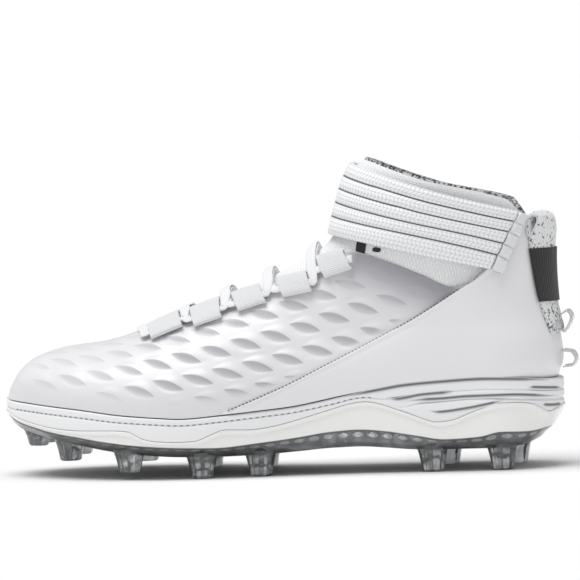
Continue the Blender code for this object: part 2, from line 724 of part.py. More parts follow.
def add_sleeve(rows=18, columns=10):
    def place(side, row):
        front = (float(station_x(smooth(SLEEVE_ROWS, row, 1))), float(upper_z(smooth(SLEEVE_ROWS, row, 2))))
        if row > 0.5:
            front = (float(front_x(front[1])), front[1])
        rear = (float(station_x(smooth(SLEEVE_ROWS, row, 3))), float(upper_z(smooth(SLEEVE_ROWS, row, 4))))
        if row >= SLEEVE_HEEL_ROW:
            rear = (float(back_x(rear[1])), rear[1])
        to_shaft = ease((row - 0.35) / (SLEEVE_HEEL_ROW - 0.35))
        t = np.linspace(0, 1, columns)
        steps = (1 - to_shaft) * (1 - np.cos(t * math.pi / 2)) + to_shaft * (1 - np.cos(t * math.pi)) / 2
        z = front[1] + (rear[1] - front[1]) * steps
        lift = smooth(COLLAR_RISE, steps) * ease((row - 0.6) / 0.4) * UPPER_RISE
        z = z + lift
        into = front_x(z) - front[0] if row > 0.5 else 0.0
        back_start = back_x(front[1]) - front[0]
        back_end = back_x(rear[1]) - rear[0]
        x = back_x(z) - (back_start + (back_end - back_start) * steps)
        x = x + into * (1 - steps) ** 3 * ease((row - 0.5) / 0.1)
        return upper_point(side, np.minimum(x, back_x(z)), z)

    order = np.linspace(0, 1, rows)
    points, keys = two_sided(
        order, columns, place,
        joined_start=lambda row: True,
        joined_end=lambda row: row >= SLEEVE_HEEL_ROW,
    )
    faces = grid_faces(keys[-1]) + [face[::-1] for face in grid_faces(keys[1])]
    points, faces = drop_unused(points, faces)
    return add_shell(
        "sleeve", points, faces, -SLEEVE_DROP - SLEEVE_WALL, -SLEEVE_DROP,
        finish("knit_sleeve", (0.78, 0.79, 0.80), 0.85),
    )


# Strap
def strap_place(across, along, low, high):
    """Station and height across the strap, at a share of the way from the front to the corners given."""
    front = [STRAP_FRONT[0][i] + (STRAP_FRONT[1][i] - STRAP_FRONT[0][i]) * across for i in (0, 1)]
    end = [low[i] + (high[i] - low[i]) * across for i in (0, 1)]
    height = front[1] + (end[1] - front[1]) * along
    z = upper_z(height)
    end_run = station_x(end[0]) - front_x(upper_z(end[1]))
    return front_x(z) + end_run * along, z


def strap_lift(x):
    """The strap lies on the sleeve at the front and over skin and quarter panel at the rear."""
    share = (x - TOE_X) / LENGTH
    start, end = STRAP_OVERLAP
    return -STRAP_DROP + (STRAP_DROP + STRAP_REAR_LIFT) * ease((share - start) / (end - start))


def add_strap(columns=10):
    across, ribs = [], []
    for low, high in zip(STRAP_RIBS[:-1], STRAP_RIBS[1:]):
        across += [low + (high - low) * share for share in (0.0, 0.25, 0.75)]
        ribs += [0.0, 0.85, 0.85]
    across.append(1.0)
    ribs.append(0.0)
    along = 1 - np.cos(np.linspace(0, math.pi / 2, columns))
    along = 0.5 * (along + np.linspace(0, 1, columns) ** 1.2)

    def place(side, row):
        return upper_point(side, *strap_place(across[row], along, *STRAP_END))

    points, keys = two_sided(
        range(len(across)), columns, place,
        joined_start=lambda row: True,
        joined_end=lambda row: False,
    )
    rib = np.zeros(len(points))
    for side in (-1, 1):
        for row, numbers in enumerate(keys[side]):
            rib[numbers] = ribs[row]
    faces = grid_faces(keys[-1]) + [face[::-1] for face in grid_faces(keys[1])]
    inner = strap_lift(points[:, 0])
    outer = inner + STRAP_WALL + rib * STRAP_RIB - STRAP_RIB * 0.5
    return add_shell("strap", points, faces, inner, outer, finish("strap_knit", (0.74, 0.75, 0.77), 0.8))


def add_strap_tip(columns=4):
    rows, ribs = [], []
    for low, high in zip(STRAP_RIBS[:-1], STRAP_RIBS[1:]):
        for share, rib in ((0.04, 0.0), (0.14, 1.0), (0.86, 1.0), (0.96, 0.0)):
            rows.append(low + (high - low) * share)
            ribs.append(rib)
    span = np.linspace(0.02, 0.98, columns)
    points, keys = [], []
    for across in rows:
        start = np.array(strap_place(across, 1.0, *STRAP_END))
        end = np.array(strap_place(across, 1.0, *STRAP_TIP_END))
        line = start + (end - start) * (0.06 + 0.94 * span[:, None])
        keys.append(list(range(len(points), len(points) + columns)))
        points += list(upper_point(-1, line[:, 0], line[:, 1]))
    points = np.array(points)
    rib = np.repeat(ribs, columns) * np.tile([0.4] + [1.0] * (columns - 2) + [0.4], len(rows))
    lift = STRAP_REAR_LIFT + 0.0002
    return add_shell(
        "strap_tip", points, grid_faces(keys), lift, lift + TIP_WALL - TIP_BLOCK * (1 - rib),
        finish("moulded_tip", (0.85, 0.86, 0.87), 0.3, 0.8),
    )


# Heel tab and loops
def heel_strip(name, path, width, inner, outer, material, columns=7):
    """A ribbon across the heel, bent round it. path holds heights and stations of its middle."""
    across = np.linspace(-0.5, 0.5, columns) * width
    heel_width = PLAN[-1][1] * BALL_WIDTH
    points, keys = [], []
    for height, share in path:
        keys.append(list(range(len(points), len(points) + columns)))
        bend = heel_radius(float(upper_z(height))) * (1 - np.sqrt(1 - (across / heel_width) ** 2))
        for y, back in zip(across, bend):
            points.append((float(station_x(share)) - back, y, float(upper_z(height))))
    return add_shell(name, np.array(points), grid_faces(keys), inner, outer, material)


def path_between(path, low, high, count):
    rising = path[:8]
    return [(height, float(smooth(rising, height))) for height in np.linspace(low, high, count)]


def add_heel_pieces():
    half = TAB_WALL / 2
    knit = finish("tab_knit", (0.82, 0.82, 0.83), 0.85)
    heel_strip("pull_tab", TAB_PATH, TAB_WIDTH, -half, half, knit)
    dark = finish("tab_band", (0.03, 0.03, 0.032), 0.7)
    band = path_between(TAB_PATH, *BAND_SPAN, 5)
    heel_strip("pull_tab_band", band, TAB_WIDTH - 0.002, half + GAP, half + GAP + BAND_WALL, dark)
    clear = finish("clear_loop", (0.8, 0.82, 0.83), 0.2, 0.5)
    heel_strip("heel_loop_upper", UPPER_LOOP_PATH, LOOP_WIDTH, -LOOP_WALL / 2, LOOP_WALL / 2, clear, 5)
    heel_strip("heel_loop_lower", LOWER_LOOP_PATH, LOOP_WIDTH, -LOOP_WALL / 2, LOOP_WALL / 2, clear.copy(), 5)


# Lacing
def tunnel_place(corners, along, across):
    """Station and height inside a tunnel's four corners, along the throat and down from it."""
    corners = np.asarray(corners)
    upper = corners[0] + (corners[1] - corners[0]) * np.asarray(along)[..., None]
    lower = corners[3] + (corners[2] - corners[3]) * np.asarray(along)[..., None]
    place = upper + (lower - upper) * np.asarray(across)[..., None]
    return station_x(place[..., 0]), upper_z(place[..., 1])


def add_tunnel(name, side, corners, stations_along=3):
    """A flat webbing tube lying on the upper, open at both ends."""
    rise = 2 * TUNNEL_WALL + TUNNEL_CLEAR
    section = []
    for across, lift in ((0.0, 0.3), (0.14, 1.0), (0.86, 1.0), (1.0, 0.3), (0.88, 0.0), (0.12, 0.0)):
        section.append((across, TUNNEL_GAP + lift * rise))
    hole = []
    low, high = TUNNEL_GAP + TUNNEL_WALL, TUNNEL_GAP + TUNNEL_WALL + TUNNEL_CLEAR
    for across, lift in ((0.10, 0.35), (0.18, 1.0), (0.82, 1.0), (0.90, 0.35), (0.82, 0.0), (0.18, 0.0)):
        hole.append((across, low + lift * (high - low)))
    mesh = bmesh.new()
    tubes = []
    for outline in (section, hole):
        rings = []
        for along in np.linspace(0, 1, stations_along):
            across = np.array([row[0] for row in outline])
            lift = np.array([row[1] for row in outline])
            x, z = tunnel_place(corners, np.full(len(outline), along), across)
            points = surface_frame(side, x, z, lift)[0]
            rings.append([mesh.verts.new(point) for point in points])
        tubes.append(rings)
        for one, two in zip(rings[:-1], rings[1:]):
            for i in range(len(one)):
                j = (i + 1) % len(one)
                mesh.faces.new([one[i], one[j], two[j], two[i]])
    for end in (0, -1):
        outer, inner = tubes[0][end], tubes[1][end]
        for i in range(len(outer)):
            j = (i + 1) % len(outer)
            mesh.faces.new([outer[i], outer[j], inner[j], inner[i]])
    add_object(name, mesh, finish("webbing", (0.84, 0.84, 0.85), 0.8))


def lace_points(side, places):
    """Middle line points of the lace over one side, from rows of x, z and lift."""
    x, z, lift = np.array(places).T
    return list(zip(*surface_frame(side, x, z, lift)))


def ridge_point(share, lift):
    """A point of the lace over the ridge, and the direction it faces."""
    slope = float(smooth(TOP, share + 0.004) - smooth(TOP, share - 0.004)) * UPPER_RISE / (0.008 * LENGTH)
    normal = np.array([-slope, 0.0, 1.0]) / math.hypot(slope, 1.0)
    x = float(station_x(share))
    middle = np.array([x, float(ridge_y(x)), float(upper_z(smooth(TOP, share)))])
    return middle + normal * lift, normal


def through_tunnel(side, level):
    """The lace inside a tunnel, from just before its front end to just past its rear end."""
    rows = []
    for along in (-0.15, 0.05, 0.95, 1.15):
        x, z = tunnel_place(TUNNELS[level], along, 0.56)
        rows.append((float(x), float(z), LACE_LIFT))
    return lace_points(side, rows)


def crossing(side, level, above):
    """The lace from one tunnel's rear end over the ridge to the next tunnel of the other side."""
    layer = LACE_HIGH if above else LACE_LOW
    gap = np.add(TUNNELS[level][1], TUNNELS[level + 1][0]) / 2
    top = (gap[0] - 0.004, float(smooth(TOP, gap[0] - 0.004)))
    places = [gap + (np.array(top) - gap) * share for share in (-0.2, 0.5)]
    rows = [(float(station_x(place[0])), float(upper_z(place[1])), layer[0]) for place in places]
    over = [ridge_point(top[0], layer[1])]
    return lace_points(side, rows) + over + lace_points(-side, rows)[::-1]


def add_lace():
    """One lace, from the top tunnel of one side down to the bar at the toe end and back up the other way."""
    halves = []
    for start in (-1, 1):
        side, points = start, []
        for level in range(len(TUNNELS)):
            above = (level % 2 == 0) == (start < 0)
            points += through_tunnel(side, level)
            if level < len(TUNNELS) - 1:
                points += crossing(side, level, above)
            side = -side
        halves.append(points)
    front = TUNNELS[0][0][0] - 0.020
    bar = []
    for side in (-1, 1):
        leave = [float(value) for value in tunnel_place(TUNNELS[0], 0.0, 0.5)]
        top = (float(station_x(front)), float(upper_z(smooth(TOP, front))))
        place = [a + (b - a) * 0.45 for a, b in zip(leave, top)]
        bar.append(lace_points(side, [(*place, LACE_LOW[0])]))
    ribbon(halves[0][::-1] + bar[0] + [ridge_point(front, LACE_LOW[0])] + bar[1] + halves[1])


def ribbon(points, per_span=2):
    """A flat ribbon through the points, lying along their normals."""
    places = np.array([point for point, _ in points])
    normals = np.array([normal for _, normal in points])
    run = np.concatenate([[0], np.cumsum(np.linalg.norm(np.diff(places, axis=0), axis=1))])
    at = np.concatenate([np.linspace(a, b, per_span, endpoint=False) for a, b in zip(run[:-1], run[1:])] + [run[-1:]])
    middle = np.stack([smooth(np.column_stack([run, places[:, i]]), at) for i in range(3)], axis=1)
    upright = np.stack([smooth(np.column_stack([run, normals[:, i]]), at) for i in range(3)], axis=1)
    tangent = np.gradient(middle, axis=0)
    across = np.cross(tangent, upright)
    across /= np.linalg.norm(across, axis=1, keepdims=True)
    upright = np.cross(across, tangent)
    upright /= np.linalg.norm(upright, axis=1, keepdims=True)
    mesh = bmesh.new()
    rings = []
    for point, side, up in zip(middle, across, upright):
        corners = []
        for wide, high in ((-0.5, -0.5), (0.5, -0.5), (0.5, 0.5), (-0.5, 0.5)):
            corners.append(mesh.verts.new(point + side * wide * LACE_WIDTH + up * high * LACE_THICKNESS))
        rings.append(corners)
    for one, two in zip(rings[:-1], rings[1:]):
        for i in range(4):
            j = (i + 1) % 4
            mesh.faces.new([one[i], one[j], two[j], two[i]])
    mesh.faces.new(rings[0])
    mesh.faces.new(rings[-1][::-1])
    return add_object("lace", mesh, finish("lace", (0.86, 0.86, 0.87), 0.75))


def main():
    for old in list(bpy.data.objects):
        bpy.data.objects.remove(old)
    add_plate()
    add_midsole()
    add_insole()
    add_upper()
    add_quarter()
    add_sleeve()
    add_strap()
    add_strap_tip()
    add_heel_pieces()
    for level, corners in enumerate(TUNNELS, start=1):
        add_tunnel(f"lace_loop_lateral_{level}", -1, corners)
        add_tunnel(f"lace_loop_medial_{level}", 1, corners)
    add_lace()


main()
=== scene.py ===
"""An american football cleat, left shoe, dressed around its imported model."""

import math

import bmesh
import bpy
import numpy as np
from mathutils import Matrix, Vector


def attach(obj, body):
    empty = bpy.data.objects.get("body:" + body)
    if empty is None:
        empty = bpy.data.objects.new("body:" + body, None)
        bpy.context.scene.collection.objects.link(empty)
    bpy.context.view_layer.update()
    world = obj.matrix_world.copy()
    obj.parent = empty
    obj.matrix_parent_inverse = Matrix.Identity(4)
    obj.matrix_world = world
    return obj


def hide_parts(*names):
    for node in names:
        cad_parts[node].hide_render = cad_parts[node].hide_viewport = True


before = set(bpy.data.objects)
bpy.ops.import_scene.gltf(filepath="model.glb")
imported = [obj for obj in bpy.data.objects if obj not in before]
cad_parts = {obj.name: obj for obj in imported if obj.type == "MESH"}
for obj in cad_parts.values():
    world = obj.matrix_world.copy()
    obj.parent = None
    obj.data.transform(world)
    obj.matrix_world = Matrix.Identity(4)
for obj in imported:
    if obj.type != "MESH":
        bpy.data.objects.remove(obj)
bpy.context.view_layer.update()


# Last
# The shape that everything is made over: a man's left last, 303 mm over the sole. Heights and widths
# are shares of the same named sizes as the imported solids, so each dressed piece lies on its solid.
LENGTH = 0.303
BALL_WIDTH = 0.100
SOLE_HEIGHT = 0.048
UPPER_RISE = 0.124
TOE_X = -0.5125 * LENGTH
TOE_ROUND = 0.20
TOE_POWER = 2.4
HEEL_ROUND = 0.12
SHAFT_HEEL_ROUND = 0.19
SHAFT_FRONT_RADIUS = 0.046
INSTEP_RADIUS = 0.078
SIDE_BULGE = 0.0015
GAP = 0.0003

# Station, outer and inner half width from the ridge line, and the ridge line's own place
PLAN = (
    (0.00, 0.360, 0.360, 0.080), (0.04, 0.365, 0.355, 0.072), (0.09, 0.410, 0.385, 0.065),
    (0.16, 0.465, 0.428, 0.050), (0.24, 0.520, 0.465, 0.025), (0.30, 0.530, 0.465, 0.012),
    (0.38, 0.505, 0.420, 0.005), (0.46, 0.450, 0.355, 0.000), (0.56, 0.390, 0.295, 0.000),
    (0.65, 0.360, 0.300, 0.000), (0.75, 0.355, 0.330, 0.000), (0.85, 0.345, 0.340, 0.000),
    (1.00, 0.340, 0.340, 0.000),
)
# Station and height of the line where the upper meets the sole
FEATHER = (
    (0.00, 0.870), (0.07, 0.830), (0.15, 0.782), (0.23, 0.722), (0.30, 0.687), (0.34, 0.672),
    (0.41, 0.700), (0.48, 0.738), (0.53, 0.768), (0.62, 0.872), (0.69, 0.948), (0.73, 0.988),
    (0.80, 1.020), (0.87, 1.038), (0.94, 1.020), (1.00, 0.985),
)
# Station and height of the upper's outline over toe, instep and the front of the shaft
TOP = (
    (0.000, -0.050), (0.006, -0.001), (0.013, 0.030), (0.023, 0.069), (0.037, 0.103), (0.055, 0.132),
    (0.083, 0.157), (0.110, 0.173), (0.137, 0.182), (0.172, 0.191), (0.209, 0.211), (0.236, 0.232),
    (0.281, 0.272), (0.335, 0.326), (0.389, 0.384), (0.444, 0.444), (0.498, 0.496), (0.534, 0.540),
    (0.571, 0.591), (0.592, 0.646), (0.600, 0.716), (0.609, 0.789), (0.619, 0.867), (0.636, 0.940),
    (0.655, 0.986), (0.680, 1.080),
)
# Height and station of the back of the heel
BACK = (
    (-0.110, 0.9855), (-0.008, 0.9875), (0.022, 0.9915), (0.087, 0.9990), (0.161, 0.9965), (0.230, 0.9890),
    (0.283, 0.9820), (0.370, 0.9755), (0.458, 0.9715), (0.544, 0.9665), (0.610, 0.9625), (0.681, 0.9575),
    (0.820, 0.9500), (1.000, 0.9450),
)
# Height and half width of the shaft
SHAFT = ((0.168, 0.335), (0.376, 0.355), (0.584, 0.360), (0.792, 0.345), (1.000, 0.340))


def smooth(rows, at, column=1):
    """A table's column at any place of its first column, on one smooth curve that adds no waves."""
    table = np.asarray(rows, float)
    x, y = table[:, 0], table[:, column]
    rise = np.diff(y) / np.diff(x)
    before, after = rise[:-1], rise[1:]
    same = before * after > 0
    middle = np.where(same, 2 * before * after / np.where(same, before + after, 1), 0)
    slope = np.concatenate([rise[:1], middle, rise[-1:]])
    at = np.clip(at, x[0], x[-1])
    i = np.clip(np.searchsorted(x, at) - 1, 0, len(x) - 2)
    step = x[i + 1] - x[i]
    t = (at - x[i]) / step
    return (
        y[i] * (1 + 2 * t) * (1 - t) ** 2
        + slope[i] * step * t * (1 - t) ** 2
        + y[i + 1] * t**2 * (3 - 2 * t)
        + slope[i + 1] * step * t**2 * (t - 1)
    )


def ease(t):
    t = np.clip(t, 0, 1)
    return t * t * (3 - 2 * t)


def closure(u, power=2.0):
    u = np.clip(u, 0, 1)
    return (1 - (1 - u) ** power) ** (1 / power)


def station_x(share):
    return TOE_X + np.asarray(share) * LENGTH


def station(x):
    return (x - TOE_X) / LENGTH


def upper_z(share):
    return SOLE_HEIGHT + np.asarray(share) * UPPER_RISE


def feather_z(share):
    return smooth(FEATHER, share) * SOLE_HEIGHT


def back_x(z):
    return station_x(smooth(BACK, (z - SOLE_HEIGHT) / UPPER_RISE))


def heel_radius(z):
    height = (z - SOLE_HEIGHT) / UPPER_RISE
    return (HEEL_ROUND + (SHAFT_HEEL_ROUND - HEEL_ROUND) * ease((height - 0.1) / 0.4)) * LENGTH


def inside_heel(x):
    back = back_x(feather_z(1.0) + GAP)
    return TOE_X + (x - TOE_X) * (back - TOE_X) / LENGTH


def spot(share, height):
    """Place along the shoe and height above the floor, from a station and a share of the upper's rise."""
    return np.array([station_x(share), upper_z(height)], float)


def run_along(points):
    """Distance along a line of points, from 0 at its start."""
    return np.concatenate([[0], np.cumsum(np.linalg.norm(np.diff(points, axis=0), axis=1))])


def resample(run, rows, at):
    """Rows of numbers at new distances along their line, each column on one smooth curve."""
    return np.stack([smooth(np.column_stack([run, column]), at) for column in np.transpose(rows)], axis=1)


def outline_points(count=700):
    corners = np.array([spot(*row) for row in TOP])
    run = run_along(corners)
    return resample(run, corners, np.linspace(0, run[-1], count))


OUTLINE = outline_points()


def front_x(z):
    return np.interp(z, OUTLINE[:, 1], OUTLINE[:, 0])


def top_z(share):
    """Height of the ridge at a station."""
    return np.interp(station_x(share), OUTLINE[:, 0], OUTLINE[:, 1])


def outline_distance(x, z):
    """Distance to the ridge as seen from the side, measured to the line between the outline's points."""
    x, z = np.broadcast_arrays(np.asarray(x, float), np.asarray(z, float))
    flat = np.stack([x.ravel(), z.ravel()], axis=1)
    found = []
    for part in np.array_split(flat, 8):
        if not len(part):
            continue
        nearest = np.linalg.norm(part[:, None] - OUTLINE, axis=2).argmin(axis=1)
        nearest = np.clip(nearest, 1, len(OUTLINE) - 2)
        both = []
        for start in (nearest - 1, nearest):
            a, way = OUTLINE[start], OUTLINE[start + 1] - OUTLINE[start]
            t = np.clip(((part - a) * way).sum(axis=1) / (way**2).sum(axis=1), 0, 1)
            both.append(np.linalg.norm(part - a - way * t[:, None], axis=1))
        found.append(np.minimum(*both))
    return np.concatenate(found).reshape(x.shape)


def ridge_y(x):
    return smooth(PLAN, station(x), 3) * BALL_WIDTH


def half_width(side, x, z):
    """How far the upper's outer face stands from the ridge line, seen from one side."""
    share = station(x)
    height = (z - SOLE_HEIGHT) / UPPER_RISE
    foot = smooth(PLAN, share, 1 if side < 0 else 2) * BALL_WIDTH
    shaft = smooth(SHAFT, height) * BALL_WIDTH
    to_shaft = ease((height - 0.14) / 0.47)
    above = np.clip((z - feather_z(share)) / 0.03, 0, 1)
    full = foot + (shaft - foot) * to_shaft + SIDE_BULGE * 4 * above * (1 - above)
    toe = closure((x - TOE_X) / (TOE_ROUND * LENGTH), TOE_POWER)
    heel = closure((back_x(z) - x) / heel_radius(z))
    radius = INSTEP_RADIUS + (SHAFT_FRONT_RADIUS - INSTEP_RADIUS) * to_shaft
    reach = np.minimum(outline_distance(x, feather_z(share)), radius)
    crown = closure(outline_distance(x, z) / np.maximum(reach, 1e-5), 2.2 - 0.35 * ease(share / 0.5))
    return full * toe * heel * crown


def upper_point(side, x, z):
    x, z = np.broadcast_arrays(np.asarray(x, float), np.asarray(z, float))
    return np.stack([x, ridge_y(x) + side * half_width(side, x, z), z], axis=-1)


def surface_frame(side, x, z, lift):
    """A point above the upper's outer face, and the face's normal there."""
    step = 0.0004
    along = upper_point(side, x + step, z) - upper_point(side, x - step, z)
    up = upper_point(side, x, z + step) - upper_point(side, x, z - step)
    normal = np.cross(along, up) * -side
    normal = normal / np.linalg.norm(normal, axis=-1, keepdims=True)
    return upper_point(side, x, z) + normal * np.asarray(lift)[..., None], normal


def stations(count, first=0.0):
    """Stations from toe to heel, closer together where both ends turn round."""
    t = np.linspace(0, 1, 4000)
    density = 1 + 5 * np.exp(-t / 0.03) + 4 * np.exp(-(1 - t) / 0.03)
    run = np.concatenate([[0], np.cumsum((density[1:] + density[:-1]) / 2)])
    return np.interp(np.linspace(np.interp(first, t, run), run[-1], count), run, t)


# Surfaces are bmesh grids moved onto the last. Each vertex keeps a lift that raises it along the finished
# surface's own normal, once the two sides have been joined at the ridge and at the heel. Its tone and its
# leaf are masks from 0 to 1 that the piece's material reads.
LAYERS = ("lift", "tone", "leaf")


def new_sheet():
    mesh = bmesh.new()
    for name in LAYERS:
        mesh.verts.layers.float.new(name)
    mesh.loops.layers.uv.new("UVMap")
    return mesh


def chart_of(across, along):
    return np.stack(np.broadcast_arrays(across, along), axis=-1)


def add_patch(mesh, points, uv, *values):
    """A grid whose vertices take the places points[i, j], a UV map in millimetres and the layers' values."""
    rows, columns = points.shape[:2]
    given = [
        (mesh.verts.layers.float[name], np.broadcast_to(value, (rows, columns)))
        for name, value in zip(LAYERS, values)
    ]
    made = bmesh.ops.create_grid(mesh, x_segments=rows - 1, y_segments=columns - 1, size=0.5)
    chart = mesh.loops.layers.uv["UVMap"]
    for vertex in made["verts"]:
        i = round((vertex.co.x + 0.5) * (rows - 1))
        j = round((vertex.co.y + 0.5) * (columns - 1))
        vertex.co = points[i, j]
        for layer, value in given:
            vertex[layer] = value[i, j]
        for loop in vertex.link_loops:
            loop[chart].uv = uv[i, j]


def settle(mesh, join=0.00002, closed=False):
    """Joins what touches, turns the faces outwards and applies each vertex's lift."""
    bmesh.ops.remove_doubles(mesh, verts=mesh.verts, dist=join)
    bmesh.ops.recalc_face_normals(mesh, faces=mesh.faces)
    if not closed:
        middle = sum((v.co for v in mesh.verts), Vector()) / len(mesh.verts)
        outward = sum(v.normal.dot(v.co - middle) for v in mesh.verts)
        if outward < 0:
            bmesh.ops.reverse_faces(mesh, faces=mesh.faces)
    mesh.normal_update()
    raise_by = mesh.verts.layers.float["lift"]
    moves = [(vertex, vertex.normal.copy() * vertex[raise_by]) for vertex in mesh.verts]
    for vertex, move in moves:
        vertex.co += move
    mesh.normal_update()


def add_object(name, data):
    made = bpy.data.objects.new(name, data)
    bpy.context.scene.collection.objects.link(made)
    return made


def add_piece(name, mesh, materials, replaced=()):
    data = bpy.data.meshes.new(name)
    mesh.to_mesh(data)
    mesh.free()
    for material in materials:
        data.materials.append(material)
    data.shade_smooth()
    piece = add_object(name, data)
    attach(piece, "root")
    if replaced:
        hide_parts(*replaced)
    return piece


def add_walled(name, mesh, materials, replaced, thickness):
    """A piece with a wall behind its surface; the wall takes the last of its materials."""
    piece = add_piece(name, mesh, materials, [replaced])
    wall = piece.modifiers.new("wall", "SOLIDIFY")
    wall.thickness = thickness
    wall.offset = -1
    wall.use_even_offset = False
    wall.material_offset = len(materials) - 1
    return piece


def add_bevel(piece, width, segments=2, angle=35):
    bevel = piece.modifiers.new("edges", "BEVEL")
    bevel.width = width
    bevel.segments = segments
    bevel.limit_method = "ANGLE"
    bevel.angle_limit = math.radians(angle)


def girth(points):
    """Distance along each row of a patch, in millimetres."""
    steps = np.linalg.norm(np.diff(points, axis=1), axis=2)
    return 1000 * np.concatenate([np.zeros((len(points), 1)), np.cumsum(steps, axis=1)], axis=1)


# Shader values are wires, which can be added and multiplied like numbers. A look is a material being made.
class Wire:
    """One output in a shader's tree."""

    def __init__(self, tree, socket):
        self.tree, self.socket = tree, socket

    def math(self, operation, *others):
        return make(self.tree, "ShaderNodeMath", (self, *others), operation=operation)

    def __add__(self, other):
        return self.math("ADD", other)

    def __sub__(self, other):
        return self.math("SUBTRACT", other)

    def __rsub__(self, other):
        return make(self.tree, "ShaderNodeMath", (other, self), operation="SUBTRACT")

    def __mul__(self, other):
        return self.math("MULTIPLY", other)

    def __truediv__(self, other):
        return self.math("DIVIDE", other)

    def axis(self, name):
        return make(self.tree, "ShaderNodeSeparateXYZ", (self,), name)

    def ramp(self, low, high, to_low=0.0, to_high=1.0):
        values = (self, low, high, to_low, to_high)
        return make(self.tree, "ShaderNodeMapRange", values, interpolation_type="SMOOTHSTEP")

    def mix(self, one, two):
        """The first colour where the wire is 0, the second where it is 1."""
        return make(self.tree, "ShaderNodeMix", {0: self, 6: one, 7: two}, 2, data_type="RGBA")


def plug(tree, value, socket):
    if isinstance(value, Wire):
        tree.links.new(value.socket, socket)
    else:
        socket.default_value = (*value, 1) if socket.type == "RGBA" else value


def make(tree, kind, values=(), output=0, **settings):
    """A shader node with its settings and its inputs, given back as the wire from one output."""
    made = tree.nodes.new(kind)
    for key, value in settings.items():
        setattr(made, key, value)
    for key, value in values.items() if isinstance(values, dict) else enumerate(values):
        plug(tree, value, made.inputs[key])
    return Wire(tree, made.outputs[output])


def noise(place, scale, detail=3):
    return make(place.tree, "ShaderNodeTexNoise", {"Vector": place, "Scale": scale, "Detail": detail}, "Fac")


def darker(colour, share):
    return tuple(channel * share for channel in colour)


def new_group(name, **numbers):
    """A shader node group that takes a place and named numbers, and a wire from each."""
    group = bpy.data.node_groups.new(name, "ShaderNodeTree")
    add_socket = group.interface.new_socket
    add_socket(name="Place", in_out="INPUT", socket_type="NodeSocketVector")
    for label, value in numbers.items():
        add_socket(name=label, in_out="INPUT", socket_type="NodeSocketFloat").default_value = value
    add_socket(name="Result", in_out="OUTPUT", socket_type="NodeSocketFloat")
    given = group.nodes.new("NodeGroupInput").outputs
    return group, *(Wire(group, given[label]) for label in ("Place", *numbers))


def close_group(group, result):
    plug(group, result, group.nodes.new("NodeGroupOutput").inputs["Result"])
    return group


def handling_group():
    """Faint uneven whiteness that any handled white surface has."""
    group, place, amount = new_group("handling", Amount=0.04)
    return close_group(group, 1.0 - (noise(place, 18, 2) * 0.6 + noise(place, 160) * 0.4) * amount)


HANDLING = handling_group()


class Look:
    """Place is where a point is in the shoe, and chart its place on the piece's own UV map."""

    def __init__(self, name, colour, roughness, **extra):
        self.material = bpy.data.materials.new(name)
        self.material.use_nodes = True
        self.tree = self.material.node_tree
        places = self.tree.nodes.new("ShaderNodeTexCoord").outputs
        self.place, self.chart = Wire(self.tree, places["Object"]), Wire(self.tree, places["UV"])
        self.set(Base_Color=colour, Roughness=roughness, **extra)

    def set(self, **values):
        for label, value in values.items():
            plug(self.tree, value, self.tree.nodes["Principled BSDF"].inputs[label.replace("_", " ")])

    def noise(self, scale, detail=3):
        return noise(self.place, scale, detail)

    def mask(self, name="tone"):
        return make(self.tree, "ShaderNodeAttribute", (), "Fac", attribute_name=name)

    def group(self, group, *values):
        return make(self.tree, "ShaderNodeGroup", values, node_tree=group)

    def shaded(self, colour, amount):
        """A colour darkened slightly and unevenly by handling."""
        return self.group(HANDLING, self.place, amount).mix(darker(colour, 0.72), colour)

    def bump(self, height, strength, distance):
        values = {"Strength": strength, "Distance": distance, "Height": height}
        self.set(Normal=make(self.tree, "ShaderNodeBump", values))
        return self.material


# Clear plate
# One injection-moulded cup of clear smoke-grey thermoplastic. It wraps up the foam in waves, and the studs
# are moulded with it: tapered, fluted, flat at the tip.
RIM_PROUD = 0.0009
CUP_WALL = 0.0015
PLATE_RECESS = 0.0022
PLATE_RIM = 0.0105
STUD_EDGE = 0.0104
STUD_BASE_RADIUS = 0.0092
STUD_TIP_RADIUS = 0.0060
HEEL_TUCK = 0.0095
TUCK_START = 0.915
STUD_ROOT = 0.003
WAVE = (
    (0.000, 0.760), (0.030, 0.675), (0.070, 0.610), (0.110, 0.570), (0.151, 0.553), (0.217, 0.557),
    (0.245, 0.545), (0.268, 0.470), (0.291, 0.435), (0.327, 0.420), (0.362, 0.425), (0.389, 0.486),
    (0.415, 0.543), (0.459, 0.533), (0.502, 0.566), (0.546, 0.632), (0.582, 0.695), (0.618, 0.760),
    (0.644, 0.797), (0.662, 0.806), (0.680, 0.790), (0.707, 0.735), (0.742, 0.655), (0.768, 0.590),
    (0.786, 0.560), (0.813, 0.576), (0.840, 0.638), (0.867, 0.700), (0.901, 0.755), (0.927, 0.755),
    (0.951, 0.735), (0.967, 0.680), (0.979, 0.630), (1.000, 0.700),
)
UNDERSIDE = (
    (0.00, 0.735, 0.640), (0.03, 0.632, 0.540), (0.07, 0.565, 0.470), (0.11, 0.513, 0.420),
    (0.15, 0.478, 0.375), (0.19, 0.439, 0.330), (0.26, 0.387, 0.280), (0.33, 0.358, 0.250),
    (0.40, 0.345, 0.240), (0.47, 0.380, 0.245), (0.54, 0.428, 0.268), (0.60, 0.480, 0.295),
    (0.65, 0.496, 0.302), (0.69, 0.476, 0.286), (0.75, 0.415, 0.255), (0.80, 0.366, 0.250),
    (0.86, 0.384, 0.250), (0.90, 0.435, 0.255), (0.95, 0.425, 0.275), (1.00, 0.450, 0.330),
)
